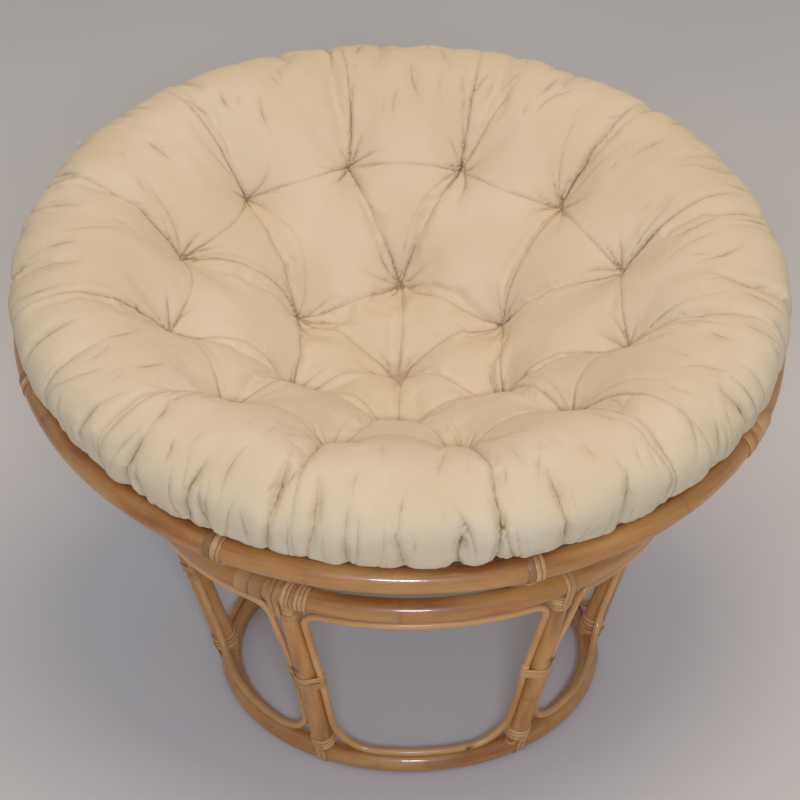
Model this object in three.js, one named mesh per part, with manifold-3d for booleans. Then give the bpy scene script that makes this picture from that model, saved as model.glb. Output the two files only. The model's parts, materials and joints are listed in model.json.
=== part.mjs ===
// Papasan chair: a round tufted cushion lies in a cane bowl, which rests tilted in the top ring of a drum
// base. Lengths are in millimetres and +Z is up. The chair faces -Y, and an azimuth is counted from there
// towards +X.
import * as THREE from 'three';
import { mergeVertices } from 'three/addons/utils/BufferGeometryUtils.js';
import Module from 'manifold-3d';

const wasm = await Module();
wasm.setup();

const TURN = 2 * Math.PI;
const DEGREE = TURN / 360;

// Fits
const GAP = 0.3;
const WELD = 0.001;

// Base: two pole rings, slanted legs between them, and a thin cane loop that lines each window
const TOP_RING_RADIUS = 373;
const TOP_RING_HEIGHT = 360;
const TOP_RING_POLE = 34;
const BOTTOM_RING_RADIUS = 270;
const BOTTOM_RING_POLE = 33;
const RING_STEPS = 48;
const LEGS = 6;
const LEG_POLE = 32;
const BASE_AZIMUTH = 3.5 * DEGREE;
const LOOP_CANE = 10.6;
const LOOP_SPREAD = 3.5;
const LOOP_TOP_PROUD = 10;
const LOOP_TOP_CORNER = 26;
const LOOP_BOTTOM_CORNER = 55;
const LOOP_CORNER_STEPS = 3;
const LOOP_RUN_STEPS = 4;
const POLE_SIDES = 8;
const CANE_SIDES = 6;

// Peel: flat strips of rattan skin that bind the joints
const PEEL_WIDTH = 8.5;
const PEEL_THICK = 1.2;
const PEEL_SPACING = 0.7;
const CHECKED_SHARES = [0, 0.25, 0.5, 0.75];
const NECK_TURNS = 1.75;
const MIDDLE_TURNS = 1.5;
const MIDDLE_LASHING_SHARE = 0.5;
const LEG_STRAPS = 2;
const STRAP_INSET = 0.15;
const FOOT_STRAP_END_SHARE = 0.7;
const RING_SPLICE_LEG = 5;
const RING_SPLICE_TURNS = 1.25;
const RIM_PEEL_WIDTH = 11;
const RIM_STRAPS = 2;
const RIB_NECK_TURNS = 1;
const RIM_SPLICE_PEEL = 24;
const RIM_SPLICE_TURNS = 3.5;
const COPE_SHARE = 0.25;

// Bowl: every pole's outer side lies on one ball, so that the bowl can tilt in the top ring
const BALL_RADIUS = 679;
const RIM_RADIUS = 530;
const RIM_POLE = 36;
const RIM_STEPS = 64;
const RIBS = 8;
const RIB_POLE = 22;
const RIB_STEPS = 12;
const RIB_AZIMUTH = 18.7 * DEGREE;
const RIM_SPLICE_RIB = 1;
const FLOOR_HOOP_RADIUS = 112;
const FLOOR_HOOP_STEPS = 24;
const INNER_HOOP_POLE = 16;
const LOWER_HOOP_ANGLE = 20 * DEGREE;
const UPPER_HOOP_ANGLE = 38 * DEGREE;
const INNER_HOOP_STEPS = 40;
const BOWL_TILT = 10 * DEGREE;
const BOWL_LEAN = 1.7 * DEGREE;

// Cushion: heights are counted from the rim hoop's own plane
const CUSHION_RADIUS = 546;
const CUSHION_AZIMUTH = -1 * DEGREE;
const CUSHION_COLUMNS = 48;
const ROLL_WIDTH = 160;
const ROLL_TOP = 137;
const ROLL_MIDDLE = 60;
const ROLL_STEPS = 5;
const ROLL_START = 115 * DEGREE;
const ROLL_END = -20 * DEGREE;
const INNER_TUFT_RADIUS = 154;
const OUTER_TUFT_RADIUS = 308;
const INNER_TUFTS = 6;
const OUTER_TUFTS = 12;
const CROWN_AT_CENTRE = -95;
const CROWN_AT_INNER_TUFTS = -52;
const CROWN_AT_OUTER_TUFTS = 50;
const CROWN_STEPS = 3;
const TUFT_PULL = 34;
const TUFT_SPREAD = 44;
const UNDERSIDE_PULL = 20;
const GATHER_DEPTH = 11;
const SIDE_TUCK_STEPS = 3;
const SIDE_TUCK_START = 80 * DEGREE;
const SIDE_TUCK_END = 155 * DEGREE;
const TAG_WIDTH = 26;
const TAG_HEIGHT = 17;
const TAG_THICK = 0.8;
const TAG_COLUMN = 32;

// Values that follow from the sizes above
const topRing = { radius: TOP_RING_RADIUS, height: TOP_RING_HEIGHT, pole: TOP_RING_POLE, steps: RING_STEPS };
const bottomRing = {
  radius: BOTTOM_RING_RADIUS,
  height: flat(BOTTOM_RING_POLE),
  pole: BOTTOM_RING_POLE,
  steps: RING_STEPS,
};
const rimDrop = Math.sqrt((BALL_RADIUS - RIM_POLE / 2) ** 2 - RIM_RADIUS ** 2);
const rim = { radius: RIM_RADIUS, height: -rimDrop, pole: RIM_POLE, steps: RIM_STEPS };
const ribLine = BALL_RADIUS - RIB_POLE / 2;
const floorHoop = {
  radius: FLOOR_HOOP_RADIUS,
  height: -Math.sqrt(ribLine ** 2 - FLOOR_HOOP_RADIUS ** 2),
  pole: RIB_POLE,
  steps: FLOOR_HOOP_STEPS,
};
const rimAngle = Math.asin(RIM_RADIUS / (BALL_RADIUS - RIM_POLE / 2));
const ribEnd = rimAngle - RIM_POLE * COPE_SHARE / ribLine;
const ribStart = Math.asin(FLOOR_HOOP_RADIUS / ribLine) + RIB_POLE * COPE_SHARE / ribLine;
const ribSlack = ribLine * (1 - Math.cos((ribEnd - ribStart) / RIB_STEPS / 2));
const [lowerHoop, upperHoop] = [LOWER_HOOP_ANGLE, UPPER_HOOP_ANGLE].map(innerHoop);
const cushionBall = Math.min(lowerHoop.inside, upperHoop.inside) - GAP;
const seatAngle = Math.acos(TOP_RING_RADIUS / (BALL_RADIUS + TOP_RING_POLE / 2));
const seatReach = reach(grown(TOP_RING_POLE, GAP + PEEL_THICK), TURN / 2 - seatAngle);
const ballOverRing = Math.sqrt((ribLine + flat(RIB_POLE) + GAP + seatReach) ** 2 - TOP_RING_RADIUS ** 2);
const ballHeight = TOP_RING_HEIGHT + ballOverRing;

// Distance from a pole's centre to the flats of its section, with an allowance
function flat(pole, allowance = 0) {
  return pole / 2 * Math.cos(TURN / POLE_SIDES / 2) + allowance;
}

// Corners of a pole's section, turned so that its flats face along and across
function section(pole, sides = POLE_SIDES) {
  return Array.from({ length: sides }, (_, k) => {
    const angle = (k + 0.5) * TURN / sides;
    return [pole / 2 * Math.cos(angle), pole / 2 * Math.sin(angle)];
  });
}

// Distance from a pole's centre to its section's furthest corner, in a direction turned from outward to up
function reach(pole, angle, sides = POLE_SIDES) {
  return Math.max(...section(pole, sides).map(([x, y]) => x * Math.cos(angle) + y * Math.sin(angle)));
}

// Diameter of a pole whose flats are moved out by an allowance
function grown(pole, allowance, sides = POLE_SIDES) {
  return pole + 2 * allowance / Math.cos(TURN / sides / 2);
}

// A hoop that lies on the ribs' inner sides, at an angle seen from the ball's centre
function innerHoop(angle) {
  const side = reach(INNER_HOOP_POLE, angle - TURN / 4, CANE_SIDES);
  const line = ribLine - ribSlack - flat(RIB_POLE) - GAP - side;
  return {
    radius: line * Math.sin(angle),
    height: -line * Math.cos(angle),
    pole: INNER_HOOP_POLE,
    steps: INNER_HOOP_STEPS,
    inside: line - side,
  };
}

function spot(azimuth, radius, height) {
  return new THREE.Vector3(radius * Math.sin(azimuth), -radius * Math.cos(azimuth), height);
}

function turnedOutwards(geometry) {
  const at = geometry.getAttribute('position');
  const index = geometry.index.array;
  const corner = [0, 1, 2].map(() => new THREE.Vector3());
  let volume = 0;
  for (let i = 0; i < index.length; i += 3) {
    corner.forEach((point, k) => point.fromBufferAttribute(at, index[i + k]));
    volume += corner[0].dot(corner[1].cross(corner[2]));
  }
  if (volume < 0) {
    geometry.setIndex(Array.from(index).reverse());
  }
  return geometry;
}

// A closed body through rings of points: the ends are joined, or closed flat, or closed over two end points
function loft(rings, joined, ends) {
  const size = rings[0].length;
  const points = rings.flat();
  const index = [];
  const spans = joined ? rings.length : rings.length - 1;
  for (let i = 0; i < spans; i += 1) {
    const here = i * size;
    const next = ((i + 1) % rings.length) * size;
    for (let j = 0; j < size; j += 1) {
      const k = (j + 1) % size;
      index.push(here + j, here + k, next + k, here + j, next + k, next + j);
    }
  }
  const last = (rings.length - 1) * size;
  if (ends) {
    points.push(...ends);
    for (let j = 0; j < size; j += 1) {
      const k = (j + 1) % size;
      index.push(points.length - 2, k, j, points.length - 1, last + j, last + k);
    }
  } else if (!joined) {
    for (let j = 1; j < size - 1; j += 1) {
      index.push(0, j + 1, j, last, last + j, last + j + 1);
    }
  }
  const geometry = new THREE.BufferGeometry().setFromPoints(points);
  geometry.setIndex(index);
  return turnedOutwards(geometry);
}

// A pole bent along a path. The first axis of its section keeps to the given outward directions.
function bentPole(path, outward, pole, joined, sides = POLE_SIDES) {
  const count = path.length;
  const rings = path.map((point, i) => {
    const before = joined ? path[(i + count - 1) % count] : path[Math.max(i - 1, 0)];
    const after = joined ? path[(i + 1) % count] : path[Math.min(i + 1, count - 1)];
    const along = after.clone().sub(before).normalize();
    const across = along.clone().cross(outward[i]).normalize();
    const out = across.clone().cross(along);
    return section(pole, sides).map(([x, y]) => (
      point.clone().addScaledVector(out, x).addScaledVector(across, y)));
  });
  return loft(rings, joined);
}

// A pole ring with the middle of one straight step at the given azimuth, where its radius is the named one
function hoop({ radius, height, pole, steps }, azimuth, sides = POLE_SIDES, allowance = 0) {
  const cornerRadius = radius / Math.cos(TURN / steps / 2);
  const corners = section(grown(pole, allowance, sides), sides);
  const profile = corners.map(([x, y]) => new THREE.Vector2(cornerRadius + x, y));
  profile.push(profile[0].clone());
  const ring = new THREE.LatheGeometry(profile, steps, azimuth - TURN / steps / 2, TURN);
  ring.rotateX(TURN / 4);
  ring.translate(0, 0, height);
  ring.deleteAttribute('normal');
  ring.deleteAttribute('uv');
  return turnedOutwards(mergeVertices(ring, WELD));
}

function asSolid(geometry) {
  const vertProperties = new Float32Array(geometry.getAttribute('position').array);
  const triVerts = new Uint32Array(geometry.index.array);
  return new wasm.Manifold(new wasm.Mesh({ numProp: 3, vertProperties, triVerts }));
}

function asGeometry(solid) {
  const { vertProperties, triVerts } = solid.getMesh();
  const geometry = new THREE.BufferGeometry();
  geometry.setAttribute('position', new THREE.BufferAttribute(vertProperties, 3));
  geometry.setIndex(new THREE.BufferAttribute(triVerts, 1));
  return geometry;
}

// Cuts the fish mouths where a pole butts against two hoops
function coped(pole, hoops) {
  return asGeometry(hoops.reduce((rest, ring) => rest.subtract(asSolid(ring)), asSolid(pole)));
}

function joinedGeometry(pieces) {
  return asGeometry(pieces.map(asSolid).reduce((whole, piece) => whole.add(piece)));
}

// A local frame: out leads away from the chair, side runs round it, and along follows the pole
function place(frame, out, side, along) {
  return frame.at.clone()
    .addScaledVector(frame.out, out)
    .addScaledVector(frame.side, side)
    .addScaledVector(frame.along, along);
}

function seenFromSide(frame, point) {
  const from = point.clone().sub(frame.at);
  return [from.dot(frame.out), from.dot(frame.along)];
}

function hull(points) {
  const sorted = [...points].sort((a, b) => a[0] - b[0] || a[1] - b[1]);
  const chain = (list) => {
    const kept = [];
    for (const p of list) {
      while (kept.length > 1) {
        const [a, b] = kept.slice(-2);
        if ((b[0] - a[0]) * (p[1] - a[1]) - (b[1] - a[1]) * (p[0] - a[0]) > WELD) {
          break;
        }
        kept.pop();
      }
      kept.push(p);
    }
    return kept.slice(0, -1);
  };
  return [...chain(sorted), ...chain(sorted.reverse())];
}

// The corners of a strip drawn tight round a convex outline, each with its inner and outer point
function drawnRound(outline, gap, thick = PEEL_THICK, open = false) {
  const count = outline.length;
  const normals = outline.map((from, i) => {
    const to = outline[(i + 1) % count];
    const length = Math.hypot(to[0] - from[0], to[1] - from[1]);
    return [(to[1] - from[1]) / length, (from[0] - to[0]) / length];
  });
  const moved = (i, offset) => {
    const [p, a, b] = [outline[i], normals[(i + count - 1) % count], normals[i]];
    if (open && (i === 0 || i === count - 1)) {
      const n = i === 0 ? b : a;
      return [p[0] + n[0] * offset, p[1] + n[1] * offset];
    }
    const spread = offset / (1 + a[0] * b[0] + a[1] * b[1]);
    return [p[0] + (a[0] + b[0]) * spread, p[1] + (a[1] + b[1]) * spread];
  };
  return outline.map((_, i) => ({ inner: moved(i, gap), outer: moved(i, gap + thick) }));
}

function stripRing({ inner, outer }, middle, width, position) {
  const low = middle - width / 2;
  const high = middle + width / 2;
  const corners = [[inner, low], [outer, low], [outer, high], [inner, high]];
  return corners.map(([point, at]) => position(point[0], point[1], at));
}

function windingRise(width, turns) {
  return (width + PEEL_SPACING) * turns;
}

// One unbroken strip wound round a pole, and its least gap to itself, measured on points along its two edges
const leastGaps = {};

function winding(name, corners, turns, width, position) {
  const count = corners.length;
  const lengths = corners.map(({ outer }, i) => {
    const next = corners[(i + 1) % count].outer;
    return Math.hypot(next[0] - outer[0], next[1] - outer[1]);
  });
  const girth = lengths.reduce((sum, length) => sum + length);
  const steps = Math.round(turns * count);
  const rise = windingRise(width, turns);
  const rings = [];
  let travelled = 0;
  for (let i = 0; i <= steps; i += 1) {
    rings.push(stripRing(corners[i % count], rise * (travelled / (turns * girth) - 0.5), width, position));
    travelled += lengths[i % count];
  }
  leastGaps[name] = Math.min(leastGaps[name] ?? Infinity, gapToItself(rings, count));
  return loft(rings, false);
}

function gapToItself(rings, perTurn) {
  const along = (i, corner, share) => rings[i][corner].clone().lerp(rings[i + 1][corner], share);
  const edge = (inner, outer) => rings.slice(1).flatMap((_, i) => CHECKED_SHARES.map((share) => ({
    step: i,
    point: along(i, inner, share).add(along(i, outer, share)).divideScalar(2),
  })));
  const lower = edge(0, 1);
  const upper = edge(3, 2);
  let least = Infinity;
  for (const a of upper) {
    for (const b of lower) {
      if (b.step - a.step > perTurn / 2) {
        least = Math.min(least, a.point.distanceTo(b.point));
      }
    }
  }
  return least;
}

// Straps laid over a hoop beside each other, with their ends under the turns on the pole that meets the hoop
function straps(frame, outline, count, width) {
  const corners = drawnRound(outline, GAP + STRAP_INSET, PEEL_THICK - 2 * STRAP_INSET, true);
  return Array.from({ length: count }, (_, k) => {
    const middle = (k - (count - 1) / 2) * (width + PEEL_SPACING);
    return loft(corners.map((corner) => (
      stripRing(corner, middle, width, (x, z, y) => place(frame, x, y, z)))));
  });
}

// The convex outline of a hoop's section and the end of the pole under it, from side to side of that pole
function overHoop(frame, overCorners, poleFrames, halfPole) {
  const sides = poleFrames.map((end) => (
    [1, -1].map((way) => seenFromSide(frame, place(end, way * halfPole, 0, 0)))));
  const [[first, last]] = sides;
  const outline = hull([...overCorners.map((point) => seenFromSide(frame, point)), ...sides.flat()]);
  const start = outline.indexOf(first);
  const turned = [...outline.slice(start), ...outline.slice(0, start)];
  return turned.at(-1) === last ? turned : turned.reverse();
}

function hoopCorners({ radius, height, pole }, azimuth) {
  return section(pole).map(([x, y]) => spot(azimuth, radius + x, height + y));
}

// Extra gap that lets a flat strip lie across the corner between two straight steps of a hoop
function cornerSlack({ steps }, width) {
  return width / 2 * Math.tan(TURN / steps / 2);
}

// A strip wound round a hoop itself, turned by an offset from the middle of one of its straight steps
function hoopWinding(name, ring, stepMiddle, offset, turns, width) {
  const step = TURN / ring.steps;
  const corners = drawnRound(section(ring.pole), GAP + cornerSlack(ring, width));
  return winding(name, corners, turns, width, (x, y, at) => {
    const turn = offset + at / ring.radius;
    const turnInStep = turn - step * Math.round(turn / step);
    return spot(stepMiddle + turn, ring.radius / Math.cos(turnInStep) + x, ring.height + y);
  });
}

// Materials
const finish = (color, roughness) => () => new THREE.MeshStandardMaterial({ color, roughness, metalness: 0 });
const varnishedPole = finish(0xa67c4e, 0.35);
const varnishedCane = finish(0xb5915f, 0.4);
const boundPeel = finish(0xb08a5a, 0.55);
const cottonCover = finish(0xd4c19d, 0.95);
const tagTape = finish(0xe8e5dc, 0.9);

function add(group, name, geometry, material) {
  geometry.computeVertexNormals();
  const mesh = new THREE.Mesh(geometry, material());
  mesh.name = name;
  group.add(mesh);
  return mesh;
}

// The base's wall is the cone through both rings, measured up its slant from the bottom ring
const wallLength = Math.hypot(TOP_RING_RADIUS - BOTTOM_RING_RADIUS, TOP_RING_HEIGHT - bottomRing.height);

function wallRadius(slant) {
  return BOTTOM_RING_RADIUS + (TOP_RING_RADIUS - BOTTOM_RING_RADIUS) * slant / wallLength;
}

function wallSpot(azimuth, slant) {
  const height = bottomRing.height + (TOP_RING_HEIGHT - bottomRing.height) * slant / wallLength;
  return spot(azimuth, wallRadius(slant), height);
}

function wallFrame(azimuth, slant) {
  const along = wallSpot(azimuth, wallLength).sub(wallSpot(azimuth, 0)).normalize();
  const side = new THREE.Vector3(Math.cos(azimuth), Math.sin(azimuth), 0);
  return { at: wallSpot(azimuth, slant), out: side.clone().cross(along), side, along };
}

const legAzimuth = (leg) => BASE_AZIMUTH + (leg + 0.5) * TURN / LEGS;
const legStart = BOTTOM_RING_POLE * COPE_SHARE;
const legEnd = wallLength - TOP_RING_POLE * COPE_SHARE;
const neckHeight = PEEL_WIDTH + windingRise(PEEL_WIDTH, NECK_TURNS);
const loopBeside = LEG_POLE / 2 + GAP + LOOP_CANE / 2;

function leg(azimuth) {
  const ends = [wallFrame(azimuth, legStart), wallFrame(azimuth, legEnd)];
  const pole = bentPole(ends.map((end) => end.at), ends.map((end) => end.out), LEG_POLE, false);
  return coped(pole, [topRing, bottomRing].map((ring) => hoop(ring, azimuth, POLE_SIDES, GAP)));
}

// Points of a quarter bend, from one tangent to the other, as distances beside the leg and up the slant
function bend(beside, slant, size, from) {
  return Array.from({ length: LOOP_CORNER_STEPS + 1 }, (_, k) => {
    const angle = from - k / LOOP_CORNER_STEPS * TURN / 4;
    return [beside + size * (1 + Math.cos(angle)), slant + size * Math.sin(angle)];
  });
}

function windowLoop(azimuth, nextAzimuth) {
  const low = BOTTOM_RING_POLE / 2 + GAP + LOOP_CANE / 2;
  const underRing = Math.sqrt((TOP_RING_POLE / 2 + GAP + LOOP_CANE / 2) ** 2 - LOOP_TOP_PROUD ** 2);
  const high = wallLength - underRing;
  const middle = wallLength * MIDDLE_LASHING_SHARE;
  const bound = (PEEL_WIDTH + windingRise(PEEL_WIDTH, MIDDLE_TURNS)) / 2 + LOOP_CANE;
  const upLeg = [
    ...bend(loopBeside, low + LOOP_BOTTOM_CORNER, LOOP_BOTTOM_CORNER, TURN * 3 / 4),
    [loopBeside, middle - bound],
    [loopBeside, middle + bound],
    ...bend(loopBeside + LOOP_SPREAD, high - LOOP_TOP_CORNER, LOOP_TOP_CORNER, TURN / 2),
  ];
  const besideLeg = (start, way) => upLeg.map(([beside, slant]) => (
    [start + way * Math.asin(beside / wallRadius(slant)), slant]));
  const near = besideLeg(azimuth, 1);
  const far = besideLeg(nextAzimuth, -1).reverse();
  const run = (from, to) => Array.from({ length: LOOP_RUN_STEPS - 1 }, (_, k) => {
    const share = (k + 1) / LOOP_RUN_STEPS;
    return [from[0] + (to[0] - from[0]) * share, from[1]];
  });
  const route = [...near, ...run(near.at(-1), far[0]), ...far, ...run(far.at(-1), near[0])];
  const frames = route.map(([angle, slant]) => wallFrame(angle, slant));
  const topStart = high - LOOP_TOP_CORNER;
  const path = frames.map((frame, i) => {
    const share = (route[i][1] - middle - bound) / (topStart - middle - bound);
    return place(frame, LOOP_TOP_PROUD * Math.min(Math.max(share, 0), 1), 0, 0);
  });
  const outward = frames.map((frame) => frame.out);
  return bentPole(path, outward, LOOP_CANE, true, CANE_SIDES);
}

function legTopLashing(azimuth) {
  const neck = wallFrame(azimuth, wallLength - TOP_RING_POLE / 2 - GAP - neckHeight / 2);
  const turns = winding('neck', drawnRound(section(LEG_POLE), GAP), NECK_TURNS, PEEL_WIDTH, (x, y, z) => (
    place(neck, x, y, z)));
  const over = wallFrame(azimuth, wallLength);
  const ends = [neck, wallFrame(azimuth, legEnd)];
  const outline = overHoop(over, hoopCorners(topRing, azimuth), ends, flat(LEG_POLE));
  return joinedGeometry([turns, ...straps(over, outline, LEG_STRAPS, PEEL_WIDTH)]);
}

function middleLashing(azimuth) {
  const slant = wallLength * MIDDLE_LASHING_SHARE;
  const frame = wallFrame(azimuth, slant);
  const canes = [1, -1].flatMap((way) => {
    const turn = Math.asin(loopBeside / wallRadius(slant));
    const from = wallSpot(azimuth + way * turn, slant).sub(frame.at);
    return section(LOOP_CANE / Math.cos(TURN / POLE_SIDES / 2)).map(([x, y]) => (
      [from.dot(frame.out) + x, from.dot(frame.side) + y]));
  });
  const corners = drawnRound(hull([...section(LEG_POLE), ...canes]), GAP);
  return winding('middle', corners, MIDDLE_TURNS, PEEL_WIDTH, (x, y, z) => place(frame, x, y, z));
}

function footLashing(azimuth) {
  const neck = wallFrame(azimuth, BOTTOM_RING_POLE / 2 + GAP + neckHeight / 2);
  const turns = winding('foot', drawnRound(section(LEG_POLE), GAP), NECK_TURNS, PEEL_WIDTH, (x, y, z) => (
    place(neck, x, y, z)));
  const foot = wallFrame(azimuth, 0);
  const corners = hoopCorners(bottomRing, azimuth);
  const [lowest, outer] = corners.slice(-2).map((point) => seenFromSide(foot, point));
  const topSide = seenFromSide(foot, place(neck, flat(LEG_POLE), 0, 0));
  const end = outer.map((value, k) => value + (lowest[k] - value) * FOOT_STRAP_END_SHARE);
  return joinedGeometry([turns, ...straps(foot, [end, outer, topSide], LEG_STRAPS, PEEL_WIDTH)]);
}

const chair = new THREE.Group();
const base = new THREE.Group();
add(base, 'base_top_ring', hoop(topRing, legAzimuth(0)), varnishedPole);
add(base, 'base_bottom_ring', hoop(bottomRing, legAzimuth(0)), varnishedPole);
for (let i = 0; i < LEGS; i += 1) {
  const azimuth = legAzimuth(i);
  add(base, `leg_${i + 1}`, leg(azimuth), varnishedPole);
  add(base, `window_loop_${i + 1}`, windowLoop(azimuth, legAzimuth(i + 1)), varnishedCane);
  add(base, `leg_top_lashing_${i + 1}`, legTopLashing(azimuth), boundPeel);
  add(base, `leg_middle_lashing_${i + 1}`, middleLashing(azimuth), boundPeel);
  add(base, `foot_lashing_${i + 1}`, footLashing(azimuth), boundPeel);
}
const ringSpliceWidth = PEEL_WIDTH + windingRise(PEEL_WIDTH, RING_SPLICE_TURNS);
const splicePlace = LEG_POLE / 2 + 2 * (GAP + PEEL_THICK) + ringSpliceWidth / 2;
[['left', -1], ['right', 1]].forEach(([side, way]) => {
  const offset = way * splicePlace / TOP_RING_RADIUS;
  const leg = legAzimuth(RING_SPLICE_LEG);
  const wrap = hoopWinding('ring splice', topRing, leg, offset, RING_SPLICE_TURNS, PEEL_WIDTH);
  add(base, `ring_splice_wrap_${side}`, wrap, boundPeel);
});
chair.add(base);

// The bowl's frame has its origin at the ball's centre
function ribFrame(azimuth, angle, line = ribLine) {
  return {
    at: spot(azimuth, line * Math.sin(angle), -line * Math.cos(angle)),
    out: spot(azimuth, Math.sin(angle), -Math.cos(angle)),
    side: new THREE.Vector3(Math.cos(azimuth), Math.sin(azimuth), 0),
    along: spot(azimuth, Math.cos(angle), Math.sin(angle)),
  };
}

const ribAzimuth = (rib) => RIB_AZIMUTH + rib * TURN / RIBS;
const spliceAllowance = 2 * GAP + PEEL_THICK + cornerSlack(rim, RIM_SPLICE_PEEL);

function rib(azimuth, rimAllowance) {
  const frames = Array.from({ length: RIB_STEPS + 1 }, (_, k) => (
    ribFrame(azimuth, ribStart + (ribEnd - ribStart) * k / RIB_STEPS)));
  const pole = bentPole(frames.map((frame) => frame.at), frames.map((frame) => frame.out), RIB_POLE, false);
  return coped(pole, [
    hoop(rim, azimuth, POLE_SIDES, rimAllowance),
    hoop(floorHoop, azimuth, POLE_SIDES, GAP),
  ]);
}

function rimLashing(azimuth) {
  const height = PEEL_WIDTH + windingRise(PEEL_WIDTH, RIB_NECK_TURNS);
  const neck = ribFrame(azimuth, rimAngle - (RIM_POLE / 2 + GAP + height / 2) / ribLine);
  const corners = drawnRound(section(RIB_POLE), GAP + ribSlack);
  const turns = winding('rib neck', corners, RIB_NECK_TURNS, PEEL_WIDTH, (x, y, z) => place(neck, x, y, z));
  const over = ribFrame(azimuth, rimAngle, BALL_RADIUS - RIM_POLE / 2);
  const ends = [neck, ribFrame(azimuth, ribEnd)];
  const outline = overHoop(over, hoopCorners(rim, azimuth), ends, flat(RIB_POLE, ribSlack));
  return joinedGeometry([turns, ...straps(over, outline, RIM_STRAPS, RIM_PEEL_WIDTH)]);
}

const bowl = new THREE.Group();
bowl.position.z = ballHeight;
bowl.rotation.set(BOWL_TILT, BOWL_LEAN, 0, 'YXZ');
add(bowl, 'rim_hoop', hoop(rim, ribAzimuth(0)), varnishedPole);
add(bowl, 'bowl_floor_hoop', hoop(floorHoop, ribAzimuth(0)), varnishedPole);
add(bowl, 'bowl_lower_hoop', hoop(lowerHoop, ribAzimuth(0), CANE_SIDES), varnishedPole);
add(bowl, 'bowl_upper_hoop', hoop(upperHoop, ribAzimuth(0), CANE_SIDES), varnishedPole);
for (let i = 0; i < RIBS; i += 1) {
  const azimuth = ribAzimuth(i);
  const spliced = i === RIM_SPLICE_RIB;
  add(bowl, `bowl_rib_${i + 1}`, rib(azimuth, spliced ? spliceAllowance : GAP), varnishedPole);
  if (spliced) {
    const wrap = hoopWinding('rim splice', rim, azimuth, 0, RIM_SPLICE_TURNS, RIM_SPLICE_PEEL);
    add(bowl, 'rim_splice_wrap', wrap, boundPeel);
  } else {
    add(bowl, `rim_lashing_${i + 1}`, rimLashing(azimuth), boundPeel);
  }
}
chair.add(bowl);

// The cushion's outline, from the middle of its crown over the roll to the middle of its underside
const rollCore = new THREE.Vector2(CUSHION_RADIUS - ROLL_WIDTH / 2, ROLL_MIDDLE);

function onRoll(angle) {
  const rise = ROLL_TOP - ROLL_MIDDLE;
  const reached = rollCore.x + ROLL_WIDTH / 2 * Math.cos(angle);
  return new THREE.Vector2(reached, rollCore.y + rise * Math.sin(angle));
}

const crownMarks = [
  new THREE.Vector2(0, CROWN_AT_CENTRE),
  new THREE.Vector2(INNER_TUFT_RADIUS, CROWN_AT_INNER_TUFTS),
  new THREE.Vector2(OUTER_TUFT_RADIUS, CROWN_AT_OUTER_TUFTS),
  onRoll(ROLL_START),
];
const crown = new THREE.SplineCurve(crownMarks).getPoints((crownMarks.length - 1) * CROWN_STEPS);
const roll = Array.from({ length: ROLL_STEPS }, (_, k) => (
  onRoll(ROLL_START + (ROLL_END - ROLL_START) * (k + 1) / ROLL_STEPS)));
const tuckStep = (SIDE_TUCK_END - SIDE_TUCK_START) / (SIDE_TUCK_STEPS - 1);
const tuckReach = grown(RIM_POLE, spliceAllowance) / 2 / Math.cos(tuckStep / 2);
const tuck = Array.from({ length: SIDE_TUCK_STEPS }, (_, k) => {
  const angle = SIDE_TUCK_START + tuckStep * k;
  return new THREE.Vector2(RIM_RADIUS + tuckReach * Math.cos(angle), tuckReach * Math.sin(angle));
});
const undersideRadii = [
  cushionBall * Math.sin(UPPER_HOOP_ANGLE),
  OUTER_TUFT_RADIUS,
  cushionBall * Math.sin(LOWER_HOOP_ANGLE),
  INNER_TUFT_RADIUS,
  0,
];
const underside = undersideRadii.map((radius) => (
  new THREE.Vector2(radius, rimDrop - Math.sqrt(cushionBall ** 2 - radius ** 2))));

const outerTuftAzimuth = CUSHION_AZIMUTH + TURN / OUTER_TUFTS / 2;
const tufts = [
  spot(0, 0, 0),
  ...tuftRing(INNER_TUFT_RADIUS, INNER_TUFTS, CUSHION_AZIMUTH),
  ...tuftRing(OUTER_TUFT_RADIUS, OUTER_TUFTS, outerTuftAzimuth),
];

function tuftRing(radius, count, firstAzimuth) {
  return Array.from({ length: count }, (_, k) => spot(firstAzimuth + k * TURN / count, radius, 0));
}

function tuftShare(point) {
  const pulls = tufts.map((tuft) => (
    Math.exp(-(((point.x - tuft.x) ** 2 + (point.y - tuft.y) ** 2) / TUFT_SPREAD ** 2))));
  return Math.max(...pulls);
}

function gathered(outline, azimuth) {
  const share = (1 + Math.cos(OUTER_TUFTS * (azimuth - outerTuftAzimuth))) / 2;
  const toCore = rollCore.clone().sub(outline).normalize();
  return outline.clone().addScaledVector(toCore, GATHER_DEPTH * share);
}

function cushionPoint(outline, azimuth, isUnder) {
  const inRoll = !isUnder && outline.x > OUTER_TUFT_RADIUS + TUFT_SPREAD;
  const at = inRoll ? gathered(outline, azimuth) : outline;
  const point = spot(azimuth, at.x, at.y);
  point.z += (isUnder ? UNDERSIDE_PULL : -TUFT_PULL) * tuftShare(point);
  return point;
}

function cushion() {
  const outline = [...crown, ...roll, ...tuck, ...underside];
  const firstUnder = crown.length + roll.length;
  const rings = outline.slice(1, -1).map((station, i) => Array.from({ length: CUSHION_COLUMNS }, (_, k) => (
    cushionPoint(station, CUSHION_AZIMUTH + k * TURN / CUSHION_COLUMNS, i + 1 >= firstUnder))));
  const ends = [cushionPoint(outline[0], 0, false), cushionPoint(outline.at(-1), 0, true)];
  return loft(rings, false, ends);
}

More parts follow.
